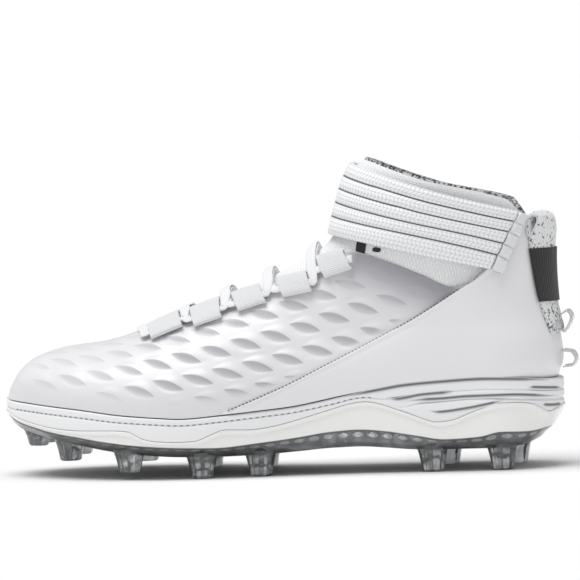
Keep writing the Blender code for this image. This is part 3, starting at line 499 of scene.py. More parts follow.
# Station, side, share of the way out, height of the tip
STUDS = (
    (0.058, -1, 0.55, 0.345), (0.062, 1, 0.55, 0.345), (0.122, -1, 0.72, 0.190), (0.118, 1, 0.74, 0.190),
    (0.240, -1, 1.0, 0.075), (0.232, 1, 1.0, 0.075), (0.370, -1, 1.0, 0.0), (0.350, 1, 1.0, 0.0),
    (0.472, -1, 1.0, 0.0), (0.455, 1, 1.0, 0.0), (0.775, -1, 1.0, 0.0), (0.785, 1, 1.0, 0.0),
    (0.898, -1, 0.95, 0.0), (0.908, 1, 0.95, 0.0),
)
PLATE_TINT = (0.94, 0.94, 0.93)
OVAL_PITCH = 8.0


def sole_width(side, share):
    """How far the sole's edge stands from the ridge line, seen from above."""
    round_off = closure(share / TOE_ROUND, TOE_POWER) * closure((1 - share) / HEEL_ROUND)
    return smooth(PLAN, share, 1 if side < 0 else 2) * BALL_WIDTH * round_off


def sole_edge(count=110):
    """The sole's outline seen from above, toe tip to heel tip and back, with its normals."""
    shares = stations(count)
    x = station_x(shares)
    outer, inner = (np.stack([x, ridge_y(x) + side * sole_width(side, shares)], axis=1) for side in (-1, 1))
    loop = np.concatenate([outer, inner[-2:0:-1]])
    share = np.concatenate([shares, shares[-2:0:-1]])
    tangent = np.roll(loop, -1, axis=0) - np.roll(loop, 1, axis=0)
    tangent /= np.linalg.norm(tangent, axis=1, keepdims=True)
    return share, loop, np.stack([tangent[:, 1], -tangent[:, 0]], axis=1)


EDGE_SHARE, EDGE_LOOP, EDGE_NORMAL = sole_edge()
TUCK = HEEL_TUCK * ease((EDGE_SHARE - TUCK_START) / (1 - TUCK_START))


def ring(offset, height):
    offset = np.broadcast_to(np.asarray(offset, float), EDGE_SHARE.shape)
    height = np.broadcast_to(np.asarray(height, float), EDGE_SHARE.shape)
    return np.concatenate([EDGE_LOOP + EDGE_NORMAL * offset[:, None], height[:, None]], axis=1)


def add_ring_body(mesh, rings, across=9, tone=0.0):
    """A closed body from rings, lowest first, with a cap of strips across the shoe at both ends."""
    rings = np.array(rings).transpose(1, 0, 2)
    around = np.concatenate([rings, rings[:1]])
    uv = chart_of(1000 * run_along(around[:, -1])[:, None], girth(around))
    add_patch(mesh, around, uv, 0.0, tone)
    half = len(rings) // 2
    for end in (0, -1):
        one = rings[: half + 1, end]
        two = np.concatenate([rings[:1, end], rings[:half - 1:-1, end]])
        share = np.linspace(0, 1, across)[None, :, None]
        cap = one[:, None] + (two - one)[:, None] * share
        add_patch(mesh, cap, cap[..., :2] * 1000, 0.0, tone if np.isscalar(tone) else tone[end])


def plate_material():
    """Clear plastic. Its tone is 0 over white foam and 1 where light passes, with light ovals between."""
    look = Look(
        "clear_plate", PLATE_TINT, 0.1, IOR=1.47, Specular_IOR_Level=0.5, Coat_Weight=0.5, Coat_Roughness=0.05
    )
    tone, cloud = look.mask(), look.noise(110, 4)
    clear = tone.ramp(0.08, 0.42)
    beat = ((look.chart.axis("X") / OVAL_PITCH).math("FRACT") - 0.5) / 0.38
    height = (0.66 - tone) / 0.16
    oval = (beat * beat + height * height + cloud).ramp(1.6, 0.9)
    dark = cloud.ramp(0.35, 0.65).mix((0.12, 0.125, 0.13), (0.30, 0.31, 0.32))
    look.set(
        Base_Color=clear.mix(PLATE_TINT, oval.mix(dark, (0.80, 0.82, 0.83))),
        Transmission_Weight=clear.ramp(0.2, 0.9, 0.04, 0.85),
        Roughness=cloud.ramp(0.3, 0.7, 0.05, 0.16),
    )
    return look.bump((oval + cloud) * clear, 0.5, 0.0008)


def stud_material():
    look = Look(
        "clear_stud", (0.80, 0.82, 0.83), 0.05, IOR=1.48, Coat_Weight=0.5, Coat_Roughness=0.03,
        Transmission_Weight=0.93,
    )
    cloud = look.noise(130)
    look.set(
        Base_Color=cloud.ramp(0.4, 0.62).mix((0.42, 0.44, 0.45), (0.90, 0.92, 0.93)),
        Roughness=cloud.ramp(0.3, 0.7, 0.03, 0.12),
    )
    return look.bump(cloud, 0.35, 0.0012)


def plate_heights():
    return (
        feather_z(EDGE_SHARE),
        smooth(WAVE, EDGE_SHARE) * SOLE_HEIGHT,
        smooth(UNDERSIDE, EDGE_SHARE, 1) * SOLE_HEIGHT,
        smooth(UNDERSIDE, EDGE_SHARE, 2) * SOLE_HEIGHT,
    )


def build_plate():
    _, wave, foam, plate = plate_heights()
    low_foam = foam + 0.25 * (wave - foam)
    inner = RIM_PROUD - CUP_WALL
    rim = PLATE_RIM * (0.45 + 0.55 * ease(np.minimum(EDGE_SHARE, 1 - EDGE_SHARE) / 0.08))
    mesh = new_sheet()
    add_ring_body(mesh, [
        ring(-rim - 0.001 - TUCK, plate + PLATE_RECESS),
        ring(-rim - TUCK, plate),
        ring(-0.45 * rim - TUCK, plate),
        ring(-0.0012 - 0.86 * TUCK, plate + 0.0028),
        ring(RIM_PROUD * 0.4 - 0.66 * TUCK, foam - 0.0006),
        ring(RIM_PROUD * 0.6 - 0.55 * TUCK, foam + 0.0008),
        ring(RIM_PROUD * 0.6 - 0.20 * TUCK, foam + 0.5 * (wave - foam)),
        ring(RIM_PROUD * 0.6, wave - np.minimum(0.0024, 0.5 * (wave - foam))),
        ring(RIM_PROUD + 0.0005, wave - np.minimum(0.0016, 0.35 * (wave - foam))),
        ring(RIM_PROUD + 0.0005, wave - 0.0002),
        ring(RIM_PROUD + 0.0002, wave),
        ring(inner, wave),
        ring(-0.0018 - 0.47 * TUCK + 1.3 * GAP, low_foam - GAP),
        ring(-0.004 - 0.65 * TUCK + 1.3 * GAP, foam - 1.6 * GAP),
    ], tone=np.array([1, 1, 1, 1, 0.5, 0, 0, 0, 0, 0, 0, 0, 0.5, 1.0]))
    settle(mesh, closed=True)
    piece = add_piece("plate_shell", mesh, [PLATE], ["outsole_plate"])
    add_bevel(piece, 0.0006)


def build_studs(turns=48, steps=15):
    """Each stud is a grid wrapped round its axis, from the middle of the tip up to its root in the plate."""
    mesh = new_sheet()
    angle = np.linspace(0, 2 * math.pi, turns + 1)
    for share, side, spread, tip in STUDS:
        x = station_x(share)
        y = ridge_y(x) + side * (sole_width(side, share) - STUD_EDGE) * spread
        root = smooth(UNDERSIDE, share, 2) * SOLE_HEIGHT + STUD_ROOT
        low = tip * SOLE_HEIGHT
        grow = 0.72 + 0.28 * min((root - low) / (SOLE_HEIGHT * 0.31), 1.0)
        rows = []
        for step in range(steps):
            if step < 4:
                radius = STUD_TIP_RADIUS * (0, 0.55, 0.86, 1.0)[step]
                height = (0, 0, 0, 0.0007)[step]
                flute = (0, 0, 0.02, 0.05)[step]
            else:
                t = (step - 3) / (steps - 4)
                radius = STUD_TIP_RADIUS + (STUD_BASE_RADIUS - STUD_TIP_RADIUS) * (0.75 * t + 0.40 * t**3)
                height = 0.0007 + (root - low - 0.0007) * t
                flute = 0.075
            wave = 1 - flute * np.clip(np.cos(6 * angle), -0.2, 1)
            rows.append(np.stack([
                x + np.cos(angle) * radius * grow * wave,
                y + np.sin(angle) * radius * grow * wave,
                np.full(turns + 1, low + height),
            ], axis=1))
        rows.append(np.tile((x, y, root), (turns + 1, 1)))
        add_patch(mesh, np.array(rows), chart_of(np.arange(len(rows))[:, None], angle[None] * 5))
    settle(mesh, closed=True)
    add_piece("plate_studs", mesh, [stud_material()])


PLATE = plate_material()
build_plate()
build_studs()


# Midsole
# A wedge of white moulded foam, seated in the plate's cup. A fine stitched-looking line runs under the
# feather edge, and a second, wider groove runs round the heel.
GROOVE = (
    (0.00, 0.085), (0.15, 0.080), (0.30, 0.067), (0.60, 0.062), (0.66, 0.085), (0.73, 0.140), (0.82, 0.125),
    (1.00, 0.120),
)
HEEL_GROOVE = ((0.70, 0.230), (0.78, 0.215), (0.85, 0.205), (0.93, 0.228), (1.00, 0.225))
GROOVE_DEPTH = 0.0009
GROOVE_HALF = 0.0009
HEEL_GROOVE_DEPTH = 0.0011
HEEL_GROOVE_HALF = 0.0013
DASH_STEP = 0.0034
DASH_SIZE = (0.0022, 0.0007, 0.0005)
SHADOW_STRIP_HALF = 0.0012
# Place across a painted groove shadow, from its upper to its lower edge, and its painted shade there
STRIP_PAINTED_SHADE = ((1, 0.25), (0.5, 1.0), (0, 0.85), (-0.5, 0.35), (-1, 0.0))
FOAM_WHITE = (0.89, 0.895, 0.905)


def foam_material():
    look = Look("foam", FOAM_WHITE, 0.5, Specular_IOR_Level=0.4, Coat_Weight=0.08)
    look.set(Base_Color=look.shaded(FOAM_WHITE, 0.05), Roughness=look.noise(60).ramp(0.3, 0.7, 0.42, 0.58))
    return look.bump(look.noise(2600, 2), 0.10, 0.0004)


def midsole_lines():
    feather, wave, _, _ = plate_heights()
    heel = ease((EDGE_SHARE - 0.70) / 0.06)
    half = 0.0003 + (HEEL_GROOVE_HALF - 0.0003) * heel
    step = wave + GAP
    lowest = step + GAP + half
    line, heel_line = (feather - smooth(table, EDGE_SHARE) * SOLE_HEIGHT for table in (GROOVE, HEEL_GROOVE))
    heel_line = lowest + heel * np.maximum(heel_line - lowest, 0)
    line = np.maximum(line, heel_line + half + GAP + GROOVE_HALF)
    return heel, half, step, heel_line, np.minimum(line, feather - GAP - GROOVE_HALF)


def build_midsole():
    feather, wave, foam, _ = plate_heights()
    heel, half, step, heel_line, line = midsole_lines()
    mesh = new_sheet()
    add_ring_body(mesh, [
        ring(-0.004 - 0.90 * TUCK, foam),
        ring(-0.0018 - 0.74 * TUCK, foam + 0.25 * (wave - foam)),
        ring(RIM_PROUD - CUP_WALL - GAP - 0.18 * TUCK, step - 0.0001),
        ring(RIM_PROUD, step),
        ring(RIM_PROUD, heel_line - half),
        ring(RIM_PROUD - 0.7 * HEEL_GROOVE_DEPTH * heel, heel_line - 0.4 * half),
        ring(RIM_PROUD - HEEL_GROOVE_DEPTH * heel, heel_line),
        ring(RIM_PROUD - 0.7 * HEEL_GROOVE_DEPTH * heel, heel_line + 0.4 * half),
        ring(RIM_PROUD, heel_line + half),
        ring(RIM_PROUD, line - GROOVE_HALF),
        ring(RIM_PROUD - GROOVE_DEPTH, line - 0.2 * GROOVE_HALF),
        ring(RIM_PROUD - GROOVE_DEPTH, line + 0.2 * GROOVE_HALF),
        ring(RIM_PROUD, line + GROOVE_HALF),
        ring(RIM_PROUD, feather - 0.0005),
        ring(RIM_PROUD * 0.3, feather),
    ])
    settle(mesh, closed=True)
    piece = add_piece("midsole_foam", mesh, [foam_material()], ["midsole"])
    add_bevel(piece, 0.00025)


def build_dashes(name, centres, along, out, size, material):
    """Short raised dashes: stitches or pinholes, each a six-sided bead."""
    mesh = bmesh.new()
    for place, direction, normal in zip(centres, along, out):
        long = Vector(direction).normalized()
        up = Vector(normal).normalized()
        across = up.cross(long).normalized()
        turn = Matrix((long, across, long.cross(across))).transposed().to_4x4()
        made = bmesh.ops.create_uvsphere(mesh, u_segments=6, v_segments=4, radius=0.5)
        turn = Matrix.Translation(Vector(place)) @ turn @ Matrix.Diagonal((*size, 1))
        bmesh.ops.transform(mesh, matrix=turn, verts=made["verts"])
    add_piece(name, mesh, [material])


def walk(points, step):
    """Places and directions at an even distance along a line of points."""
    run = run_along(points)
    at = np.arange(step, run[-1] - step, step)
    place, ahead = (
        np.stack([np.interp(far, run, column) for column in points.T], axis=1) for far in (at, at + step / 3)
    )
    return place, ahead - place


def build_groove_dashes():
    path = ring(RIM_PROUD - GROOVE_DEPTH * 0.8, midsole_lines()[4])
    path = path[(EDGE_SHARE > 0.02) & (EDGE_SHARE < 0.69)]
    half = len(path) // 2
    grey = Look("groove_dash", (0.33, 0.34, 0.36), 0.7).material
    parts = [walk(part, DASH_STEP) for part in (path[:half], path[half:])]
    places, ways = (np.concatenate(both) for both in zip(*parts))
    outs = [np.cross(way, (0, 0, 1)) for way in ways]
    build_dashes("midsole_line", places, ways, outs, DASH_SIZE, grey)


# Station and height of the painted groove shadows round the heel, as the middle line of each; the last is a
# painted shadow line under the feather edge
FOAM_PAINTED_SHADOWS = (
    ((0.699, 0.854), (0.715, 0.825), (0.764, 0.869), (0.818, 0.889)),
    ((0.727, 0.807), (0.796, 0.819), (0.841, 0.836), (0.912, 0.842), (0.998, 0.790)),
    ((0.770, 0.702), (0.790, 0.671), (0.840, 0.704), (0.876, 0.744), (0.906, 0.785)),
    ((0.946, 0.917), (0.970, 0.900), (0.998, 0.875)),
    ((0.968, 0.712), (0.984, 0.695), (0.998, 0.690)),
    (
        (0.600, 0.845), (0.690, 0.934), (0.730, 0.974), (0.800, 1.006), (0.870, 1.024), (0.940, 1.006),
        (0.998, 0.972),
    ),
)


def build_foam_painted_shadows(steps=40):
    """Painted groove shadows: each is a flat strip on the foam's side, darkened with painted shade, that
    narrows to nothing at its ends.
    """
    look = Look("foam_painted_shade", FOAM_WHITE, 0.6)
    # Painted shade: each strip's tone mixes the foam white towards near black.
    look.set(Base_Color=look.mask().mix(FOAM_WHITE, (0.12, 0.12, 0.13)))
    half = len(EDGE_SHARE) // 2
    mesh = new_sheet()
    for shadow_line in FOAM_PAINTED_SHADOWS:
        at = np.linspace(shadow_line[0][0], shadow_line[-1][0], steps)
        middle = smooth(shadow_line, at) * SOLE_HEIGHT
        taper = np.minimum(1, 6 * np.minimum(np.linspace(0, 1, steps), 1.02 - np.linspace(0, 1, steps)))
        for part in (slice(0, half + 1), slice(half, None)):
            share, order = EDGE_SHARE[part], np.argsort(EDGE_SHARE[part])
            edge = (EDGE_LOOP + EDGE_NORMAL * (RIM_PROUD + 0.00008))[part]
            x, y = (np.interp(at, share[order], edge[order, i]) for i in (0, 1))
            rows = [np.stack([x, y, middle + up * SHADOW_STRIP_HALF * taper], axis=1) for up, _ in STRIP_PAINTED_SHADE]
            points = np.stack(rows, axis=1)
            tone = np.outer(taper, [shade for _, shade in STRIP_PAINTED_SHADE])
            add_patch(mesh, points, points[..., [0, 2]] * 1000, 0.0, tone)
    settle(mesh)
    add_piece("foam_painted_shadows", mesh, [look.material])


build_midsole()
build_groove_dashes()
build_foam_painted_shadows()


# Insole
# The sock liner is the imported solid, with a brushed grey fabric top.
def liner_material():
    look = Look("sock_liner", (0.5, 0.51, 0.53), 0.9, Sheen_Weight=0.3)
    fibre = look.noise(900, 4)
    look.set(Base_Color=fibre.mix((0.36, 0.37, 0.39), (0.62, 0.63, 0.65)))
    return look.bump(fibre, 0.5, 0.0008)


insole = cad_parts["insole"]
insole.data.materials.clear()
insole.data.materials.append(liner_material())


# Skin
# One thin synthetic skin over the forefoot and both sides, hot-pressed into rows of leaf-shaped dimples:
# each has a raised crest above it and a face under the crest, shaded by its form and by painted shade.
# It is open along the throat.
SKIN_WALL = 0.0016
SKIN_WHITE = (0.79, 0.79, 0.81)
SKIN_EDGE = (
    (0.22, 0.236, 0.232), (0.26, 0.275, 0.256), (0.30, 0.320, 0.290), (0.35, 0.385, 0.344),
    (0.40, 0.440, 0.386), (0.45, 0.500, 0.429), (0.50, 0.555, 0.473), (0.55, 0.600, 0.540),
    (0.60, 0.637, 0.577), (0.64, 0.660, 0.564), (0.70, 0.710, 0.521), (0.76, 0.765, 0.467),
    (0.82, 0.821, 0.411), (0.86, 0.853, 0.422), (0.89, 0.871, 0.462), (0.92, 0.890, 0.501),
    (0.95, 0.915, 0.570), (0.975, 0.938, 0.650), (1.00, 0.9585, 0.672),
)
SEAM = (
    (0.405, 0.418, -0.100), (0.45, 0.470, -0.050), (0.50, 0.530, 0.010), (0.55, 0.590, 0.080),
    (0.60, 0.645, 0.144), (0.65, 0.700, 0.211), (0.70, 0.750, 0.275), (0.76, 0.800, 0.348),
    (0.82, 0.835, 0.401), (0.87, 0.862, 0.441), (0.90, 0.880, 0.480), (0.93, 0.900, 0.528),
    (0.955, 0.918, 0.585), (0.98, 0.940, 0.658), (1.00, 0.9585, 0.676),
)
DIMPLE_PITCH = 0.0158
DIMPLE_ROW = 0.0150
DIMPLE_DRIFT = 0.0012
DIMPLE_RISE = 0.23
DIMPLE_TILT = math.radians(-19)
DIMPLE_HALF_LENGTH = 0.0092
DIMPLE_HALF_HEIGHT = 0.0026
DIMPLE_DEPTH = 0.00125
DIMPLE_ANCHOR = (-0.0115, 0.0627)
LEAF_PAINTED_SHADE = 0.62
# The dent that the strap presses into the skin's upper edge: depth, width in millimetres, and the painted
# shadow under the strap there
DENT_DEPTH = 0.0016
DENT_WIDTH = 17
DENT_PAINTED_SHADOW = 0.95


def rear_line(side, start, end, steps):
    """A line over the upper's face between two spots, bent like the back of the heel."""
    start_back, end_back = (back_x(z) - x for x, z in (start, end))
    z = start[1] + (end[1] - start[1]) * steps
    x = back_x(z) - (start_back + (end_back - start_back) * steps)
    return upper_point(side, x, z)


def panel_line(side, share, edge, steps, gaps):
    """A line over the upper's face, from just above the feather edge at a station to a spot on the edge."""
    x = inside_heel(station_x(share))
    base = np.array([x, feather_z(station(x)) + gaps * GAP])
    if share > 0.9999:
        base[0], edge[0] = back_x(base[1]), back_x(edge[1])
    return rear_line(side, base, edge, steps)


def skin_side(side, shares, columns):
    """Points of one side of the skin, a line for each station from the feather edge up."""
    first_open, first_edge = SKIN_EDGE[0][:2]
    lines = []
    for share in shares:
        if share <= first_open:
            ahead = share * first_edge / first_open
            edge = np.array([station_x(ahead), top_z(ahead)])
        else:
            edge = spot(smooth(SKIN_EDGE, share, 1), smooth(SKIN_EDGE, share, 2))
        closed = 1 - ease((share - first_open) / 0.12)
        even = np.linspace(0, 1, columns)
        steps = closed * np.sin(even * math.pi / 2) + (1 - closed) * even
        lines.append(panel_line(side, share, edge, steps, 2))
    return np.array(lines)


def seam_height(x):
    """Height of the quarter panel's front edge at a place along the shoe."""
    return np.interp(x, *np.transpose([spot(*row[1:]) for row in SEAM[:-1]]))


def dimples(points, run, base):
    """How far the skin is raised or pressed in at each point, from its place along and round the last."""
    x, up = points[..., 0], base[:, None] + run / 1000
    row_at = (up - DIMPLE_ANCHOR[1] - DIMPLE_RISE * (x - DIMPLE_ANCHOR[0])) / DIMPLE_ROW
    total = np.zeros_like(x)
    for row in range(-3, 6):
        shift = DIMPLE_PITCH * 0.5 * (row % 2) + DIMPLE_DRIFT * row
        first = math.floor((-0.15 - DIMPLE_ANCHOR[0] - shift) / DIMPLE_PITCH)
        nearest = np.round((x - DIMPLE_ANCHOR[0] - shift) / DIMPLE_PITCH)
        for offset in (-1, 0, 1):
            column = np.maximum(nearest + offset, first)
            centre_x = DIMPLE_ANCHOR[0] + shift + column * DIMPLE_PITCH
            centre_up = DIMPLE_ANCHOR[1] + row * DIMPLE_ROW + DIMPLE_RISE * (centre_x - DIMPLE_ANCHOR[0])
            along = (x - centre_x) * math.cos(DIMPLE_TILT) + (up - centre_up) * math.sin(DIMPLE_TILT)
            across = -(x - centre_x) * math.sin(DIMPLE_TILT) + (up - centre_up) * math.cos(DIMPLE_TILT)
            near = np.clip(1 - (along / DIMPLE_HALF_LENGTH) ** 2, 0, 1)
            tall = np.maximum(near, 1e-3) * DIMPLE_HALF_HEIGHT
            t = across / tall
            face = np.sin(np.clip(t, -1, 1) * math.pi / 2)
            crest = np.where(t > 1, 1 - ease((t - 1) / 1.9), np.maximum(face, 0))
            trough = np.where(t < -1, 1 - ease((-t - 1) / 0.9), np.maximum(-face, 0))
            total += near * (crest * 0.75 - trough * 0.55)
    foot = ease((up - feather_z(station(x)) - 0.0065) / 0.009)
    ahead = ease((station(x) - 0.02) / 0.09)
    seam = ease((up - seam_height(x) - 0.0025) / 0.006)
    strong = 0.45 + 0.55 * ease((station(x) - 0.16) / 0.18)
    upper_rows = 1 - 0.45 * ease((row_at - 1.6) / 1.2)
    amount = foot * ahead * seam * strong * upper_rows
    return DIMPLE_DEPTH * total * amount, amount


def leaf_group():
    """The painted shade on the face of each dimple, on the same rows as above. Place is the skin's own UV
    map.
    """
    group, place = new_group("leaves")
    pitch, row_pitch = 1000 * DIMPLE_PITCH, 1000 * DIMPLE_ROW
    cosine, sine = math.cos(DIMPLE_TILT), math.sin(DIMPLE_TILT)
    x = place.axis("X") - 1000 * DIMPLE_ANCHOR[0]
    level = place.axis("Y") - 1000 * DIMPLE_ANCHOR[1] - x * DIMPLE_RISE
    row = (level / row_pitch).math("ROUND")
    above_row = level - row * row_pitch
    shift = row.math("PINGPONG", 1.0) * (0.5 * pitch) + row * (1000 * DIMPLE_DRIFT)
    column = (x - shift) / pitch
    off = column - column.math("ROUND")
    leaves = []
    for aside in (off, off - off.math("SIGN")):
        dx = aside * pitch
        dz = above_row + dx * DIMPLE_RISE
        along = (dx * cosine + dz * sine) / (1000 * DIMPLE_HALF_LENGTH)
        near = (1.0 - along * along).math("MAXIMUM", 0.001)
        t = (dz * cosine - dx * sine) / (near * (1000 * DIMPLE_HALF_HEIGHT))
        edge = (t + 0.05).math("ABSOLUTE").ramp(1.12, 0.82)
        leaves.append(edge * near.ramp(0.0, 0.12) * t.ramp(-1.0, 0.6, 0.4, 1.0))
    return close_group(group, leaves[0].math("MAXIMUM", leaves[1]))


LEAVES = leaf_group()


def skin_material():
    """Satin synthetic skin, with a very fine pebble grain that is coarser low down. Painted shade darkens the
    dimples' faces and the skin under the strap's edge.
    """
    look = Look("skin", SKIN_WHITE, 0.36, Specular_IOR_Level=0.45, Coat_Weight=0.10, Coat_Roughness=0.25)
    leaf = look.group(LEAVES, look.chart) * look.mask("leaf")
    # Painted shade: the dimples' faces and the strap's painted shadow darken the base colour towards grey.
    shade = (leaf * LEAF_PAINTED_SHADE).math("MAXIMUM", look.mask())
    look.set(
        Base_Color=shade.mix(look.shaded(SKIN_WHITE, 0.05), (0.31, 0.31, 0.34)),
        Roughness=look.noise(45).ramp(0.3, 0.7, 0.31, 0.42),
    )
    cells = make(look.tree, "ShaderNodeTexVoronoi", {"Vector": look.place, "Scale": 1100}, "Distance")
    pebble = cells * look.place.axis("Z").ramp(0.075, 0.045, 0.25, 1.0)
    return look.bump(pebble + look.noise(3200, 2) * 0.4 - leaf * 5.0, 0.12, 0.0003)


def build_skin(count=250, columns=88):
    mesh = new_sheet()
    shares = stations(count)
    for side in (-1, 1):
        points = skin_side(side, shares, columns)
        run = girth(points)
        base = points[:, 0, 2]
        lift, leaf = dimples(points, run, base)
        to_edge = run[:, -1:] - run
        closed = np.clip((shares - 0.22) / 0.03, 0, 1)[:, None]
        to_ridge = ease(to_edge / 5.0)
        lift = lift * (to_ridge + (1 - to_ridge) * 0.5 * closed)
        under_strap = (ease((shares - 0.58) / 0.05) * (1 - ease((shares - 0.81) / 0.05)))[:, None]
        dent = under_strap * np.exp(-((to_edge / DENT_WIDTH) ** 2))
        uv = chart_of(points[..., 0] * 1000, base[:, None] * 1000 + run)
        leaf = leaf * (to_ridge + (1 - to_ridge) * closed)
        # The tone layer is painted shadow under the strap's edge; the leaf layer is the dimples' painted
        # shade.
        add_patch(mesh, points, uv, lift - DENT_DEPTH * dent, DENT_PAINTED_SHADOW * dent, leaf)
    settle(mesh)
    add_walled("skin", mesh, [skin_material()], "upper", SKIN_WALL)


build_skin()


# Quarter panel
# A smooth fused film over the back half, thicker than the skin, with one long straight front edge. The
# edge is held by a row of fine dark pinholes.
QUARTER_LIFT = 0.00055
QUARTER_WALL = 0.0008
PANEL_WHITE = (0.84, 0.84, 0.86)
HOLE_STEP = 0.0021
HOLE_SIZE = (0.0012, 0.0008, 0.0006)


def panel_material():
    look = Look(
        "quarter_panel", PANEL_WHITE, 0.30, Specular_IOR_Level=0.45, Coat_Weight=0.15, Coat_Roughness=0.2
    )
    gloss = look.noise(60, 1).ramp(0.0, 1.0, 0.27, 0.35)
    look.set(Base_Color=look.shaded(PANEL_WHITE, 0.04), Roughness=gloss)
    return look.bump(look.noise(2400, 2), 0.06, 0.0003)


def quarter_side(side, shares, columns):
    steps = np.linspace(0, 1, columns)
    edges = [spot(smooth(SEAM, share, 1), smooth(SEAM, share, 2)) for share in shares]
    return np.array([panel_line(side, share, edge, steps, 3) for share, edge in zip(shares, edges)])


def build_quarter(count=190, columns=60):
    mesh = new_sheet()
    shares = stations(count, SEAM[0][0])
    holes = []
    for side in (-1, 1):
        points = quarter_side(side, shares, columns)
        run = girth(points)
        to_edge = (run[:, -1:] - run) / 1000
        roll = 0.0002 * np.exp(-((to_edge - 0.0012) / 0.0011) ** 2)
        roll -= 0.0002 * np.exp(-((to_edge - 0.0040) / 0.0016) ** 2)
        uv = chart_of(points[..., 0] * 1000, run)
        taper = (0.3 + 0.7 * ease((shares - SEAM[0][0]) / 0.05))[:, None]
        add_patch(mesh, points, uv, (QUARTER_LIFT + QUARTER_WALL + roll) * taper)
        front = points[(shares < 0.83), -1]
        holes.append((side, walk(front, HOLE_STEP)))
    settle(mesh)
    add_walled("quarter_film", mesh, [panel_material()], "quarter", QUARTER_WALL)
    dark = Look("pinhole", (0.10, 0.10, 0.11), 0.8).material
    places, ways, outs = [], [], []
    for side, (place, way) in holes:
        at, out = surface_frame(side, place[:, 0] - 0.0002, place[:, 2] + 0.0002, 0.0005)
        places += list(at)
        ways += list(way)
        outs += list(out)
    build_dashes("seam_pinholes", places, ways, outs, HOLE_SIZE, dark)


build_quarter()


# Sleeve
# A knitted inner sleeve that is the tongue and the collar in one: fine white knit outside, a grey and
# black melange lining that shows round the collar's edge.
SLEEVE_DROP = 0.0026
SLEEVE_WALL = 0.0023
KNIT_WHITE = (0.96, 0.965, 0.975)
# Row, height of its front on the ridge, station and height of its rear end
SLEEVE_ROWS = (
    (0.00, 0.219, 0.2260, 0.180), (0.10, 0.281, 0.3000, 0.222), (0.20, 0.342, 0.3650, 0.262),
    (0.30, 0.429, 0.4400, 0.300), (0.40, 0.509, 0.5400, 0.345), (0.50, 0.591, 0.7000, 0.360),
    (0.60, 0.662, 0.8600, 0.320), (0.70, 0.740, 0.9755, 0.370), (0.80, 0.812, 0.9690, 0.500),
    (0.90, 0.908, 0.9625, 0.610), (1.00, 0.986, 0.9570, 0.690),
)
SLEEVE_HEEL_ROW = 0.70
COLLAR_RISE = (
    (0.00, 0.000), (0.12, 0.012), (0.24, 0.016), (0.43, 0.022), (0.66, 0.048), (0.77, 0.060), (0.90, 0.068),
    (0.95, 0.040), (1.00, 0.000),
)
COLLAR_SAG = 0.0036
# Station, height, length and height of each gap in the knit
LINING_GAPS = ((0.655, 0.592, 0.0058, 0.0088), (0.6855, 0.578, 0.0048, 0.0024))


def knit_group():
    """Rows of small slanted loops. Place is a UV map in millimetres, and rows run along its first axis."""
    group, place, row, loop = new_group("knit", Row=1.6, Loop=1.2)
    down = place.axis("Y") / row
    slanted = place.axis("X") / loop + down.math("PINGPONG", 1.0) * 0.55
    bulge = (slanted * math.pi).math("SINE").math("ABSOLUTE").math("POWER", 0.6)
    round_row = (down.math("FRACT") * math.pi).math("SINE").math("POWER", 0.5)
    return close_group(group, bulge * round_row)


KNIT = knit_group()


def sleeve_material():
    """White knit: painted shade between its loops, with a soft sheen."""
    look = Look("knit_sleeve", KNIT_WHITE, 0.85, Sheen_Weight=0.25, Sheen_Roughness=0.4)
    level = look.group(KNIT, look.chart, 1.7, 1.45) + look.noise(1500) * 0.35
    # Painted shade: the knit's low places between loops are darker.
    look.set(Base_Color=level.ramp(0.25, 0.95).mix(darker(KNIT_WHITE, 0.86), KNIT_WHITE))
    return look.bump(level, 0.45, 0.0005)


def melange_material():
    """Grey and black mixed yarn: the lining."""
    look = Look("melange", (0.2, 0.2, 0.21), 0.9, Sheen_Weight=0.2)
    fleck = look.noise(700, 2)
    yarn = (fleck * 0.7 + look.noise(240, 2) * 0.3).ramp(0.42, 0.58)
    look.set(Base_Color=yarn.mix((0.03, 0.03, 0.035), (0.55, 0.56, 0.58)))
    return look.bump(fleck, 0.6, 0.0006)


def sleeve_line(side, row, columns):
    """A line over the last from ridge to rear: across the tongue low down, round the collar on top."""
    low = upper_z(smooth(SLEEVE_ROWS, row, 1))
    front = front_x(low)
    rear, high = spot(smooth(SLEEVE_ROWS, row, 2), smooth(SLEEVE_ROWS, row, 3))
    if row >= SLEEVE_HEEL_ROW:
        rear = back_x(high)
    to_shaft = ease((row - 0.35) / (SLEEVE_HEEL_ROW - 0.35))
    t = np.linspace(0, 1, columns)
    steps = (1 - to_shaft) * (1 - np.cos(t * math.pi / 2)) + to_shaft * (1 - np.cos(t * math.pi)) / 2
    z = low + (high - low) * steps
    z = z + smooth(COLLAR_RISE, steps) * ease((row - 0.6) / 0.4) * UPPER_RISE
    if side > 0:
        z = z - COLLAR_SAG * np.sin(math.pi * steps) * ease((row - 0.8) / 0.2)
    start_back, end_back = back_x(low) - front, back_x(high) - rear
    x = back_x(z) - (start_back + (end_back - start_back) * steps)
    x = x + (front_x(z) - front) * (1 - steps) ** 3 * ease((row - 0.5) / 0.1)
    return upper_point(side, np.minimum(x, back_x(z)), z)


def build_sleeve(rows=90, columns=80):
    mesh = new_sheet()
    top = np.linspace(0, 1, rows)
    lip = 0.0006 * ease((top - 0.97) / 0.03)
    for side in (-1, 1):
        points = np.array([sleeve_line(side, row, columns) for row in top])
        uv = chart_of(girth(points), girth(points.transpose(1, 0, 2)).T)
        add_patch(mesh, points, uv, (-SLEEVE_DROP - lip)[:, None], top[:, None] > 0.985)
    settle(mesh, join=0.00004)
    toned = mesh.verts.layers.float["tone"]
    for face in mesh.faces:
        face.material_index = int(all(vertex[toned] > 0.5 for vertex in face.verts))
    materials = [sleeve_material(), melange_material()]
    add_walled("sleeve_knit", mesh, materials, "sleeve", SLEEVE_WALL)


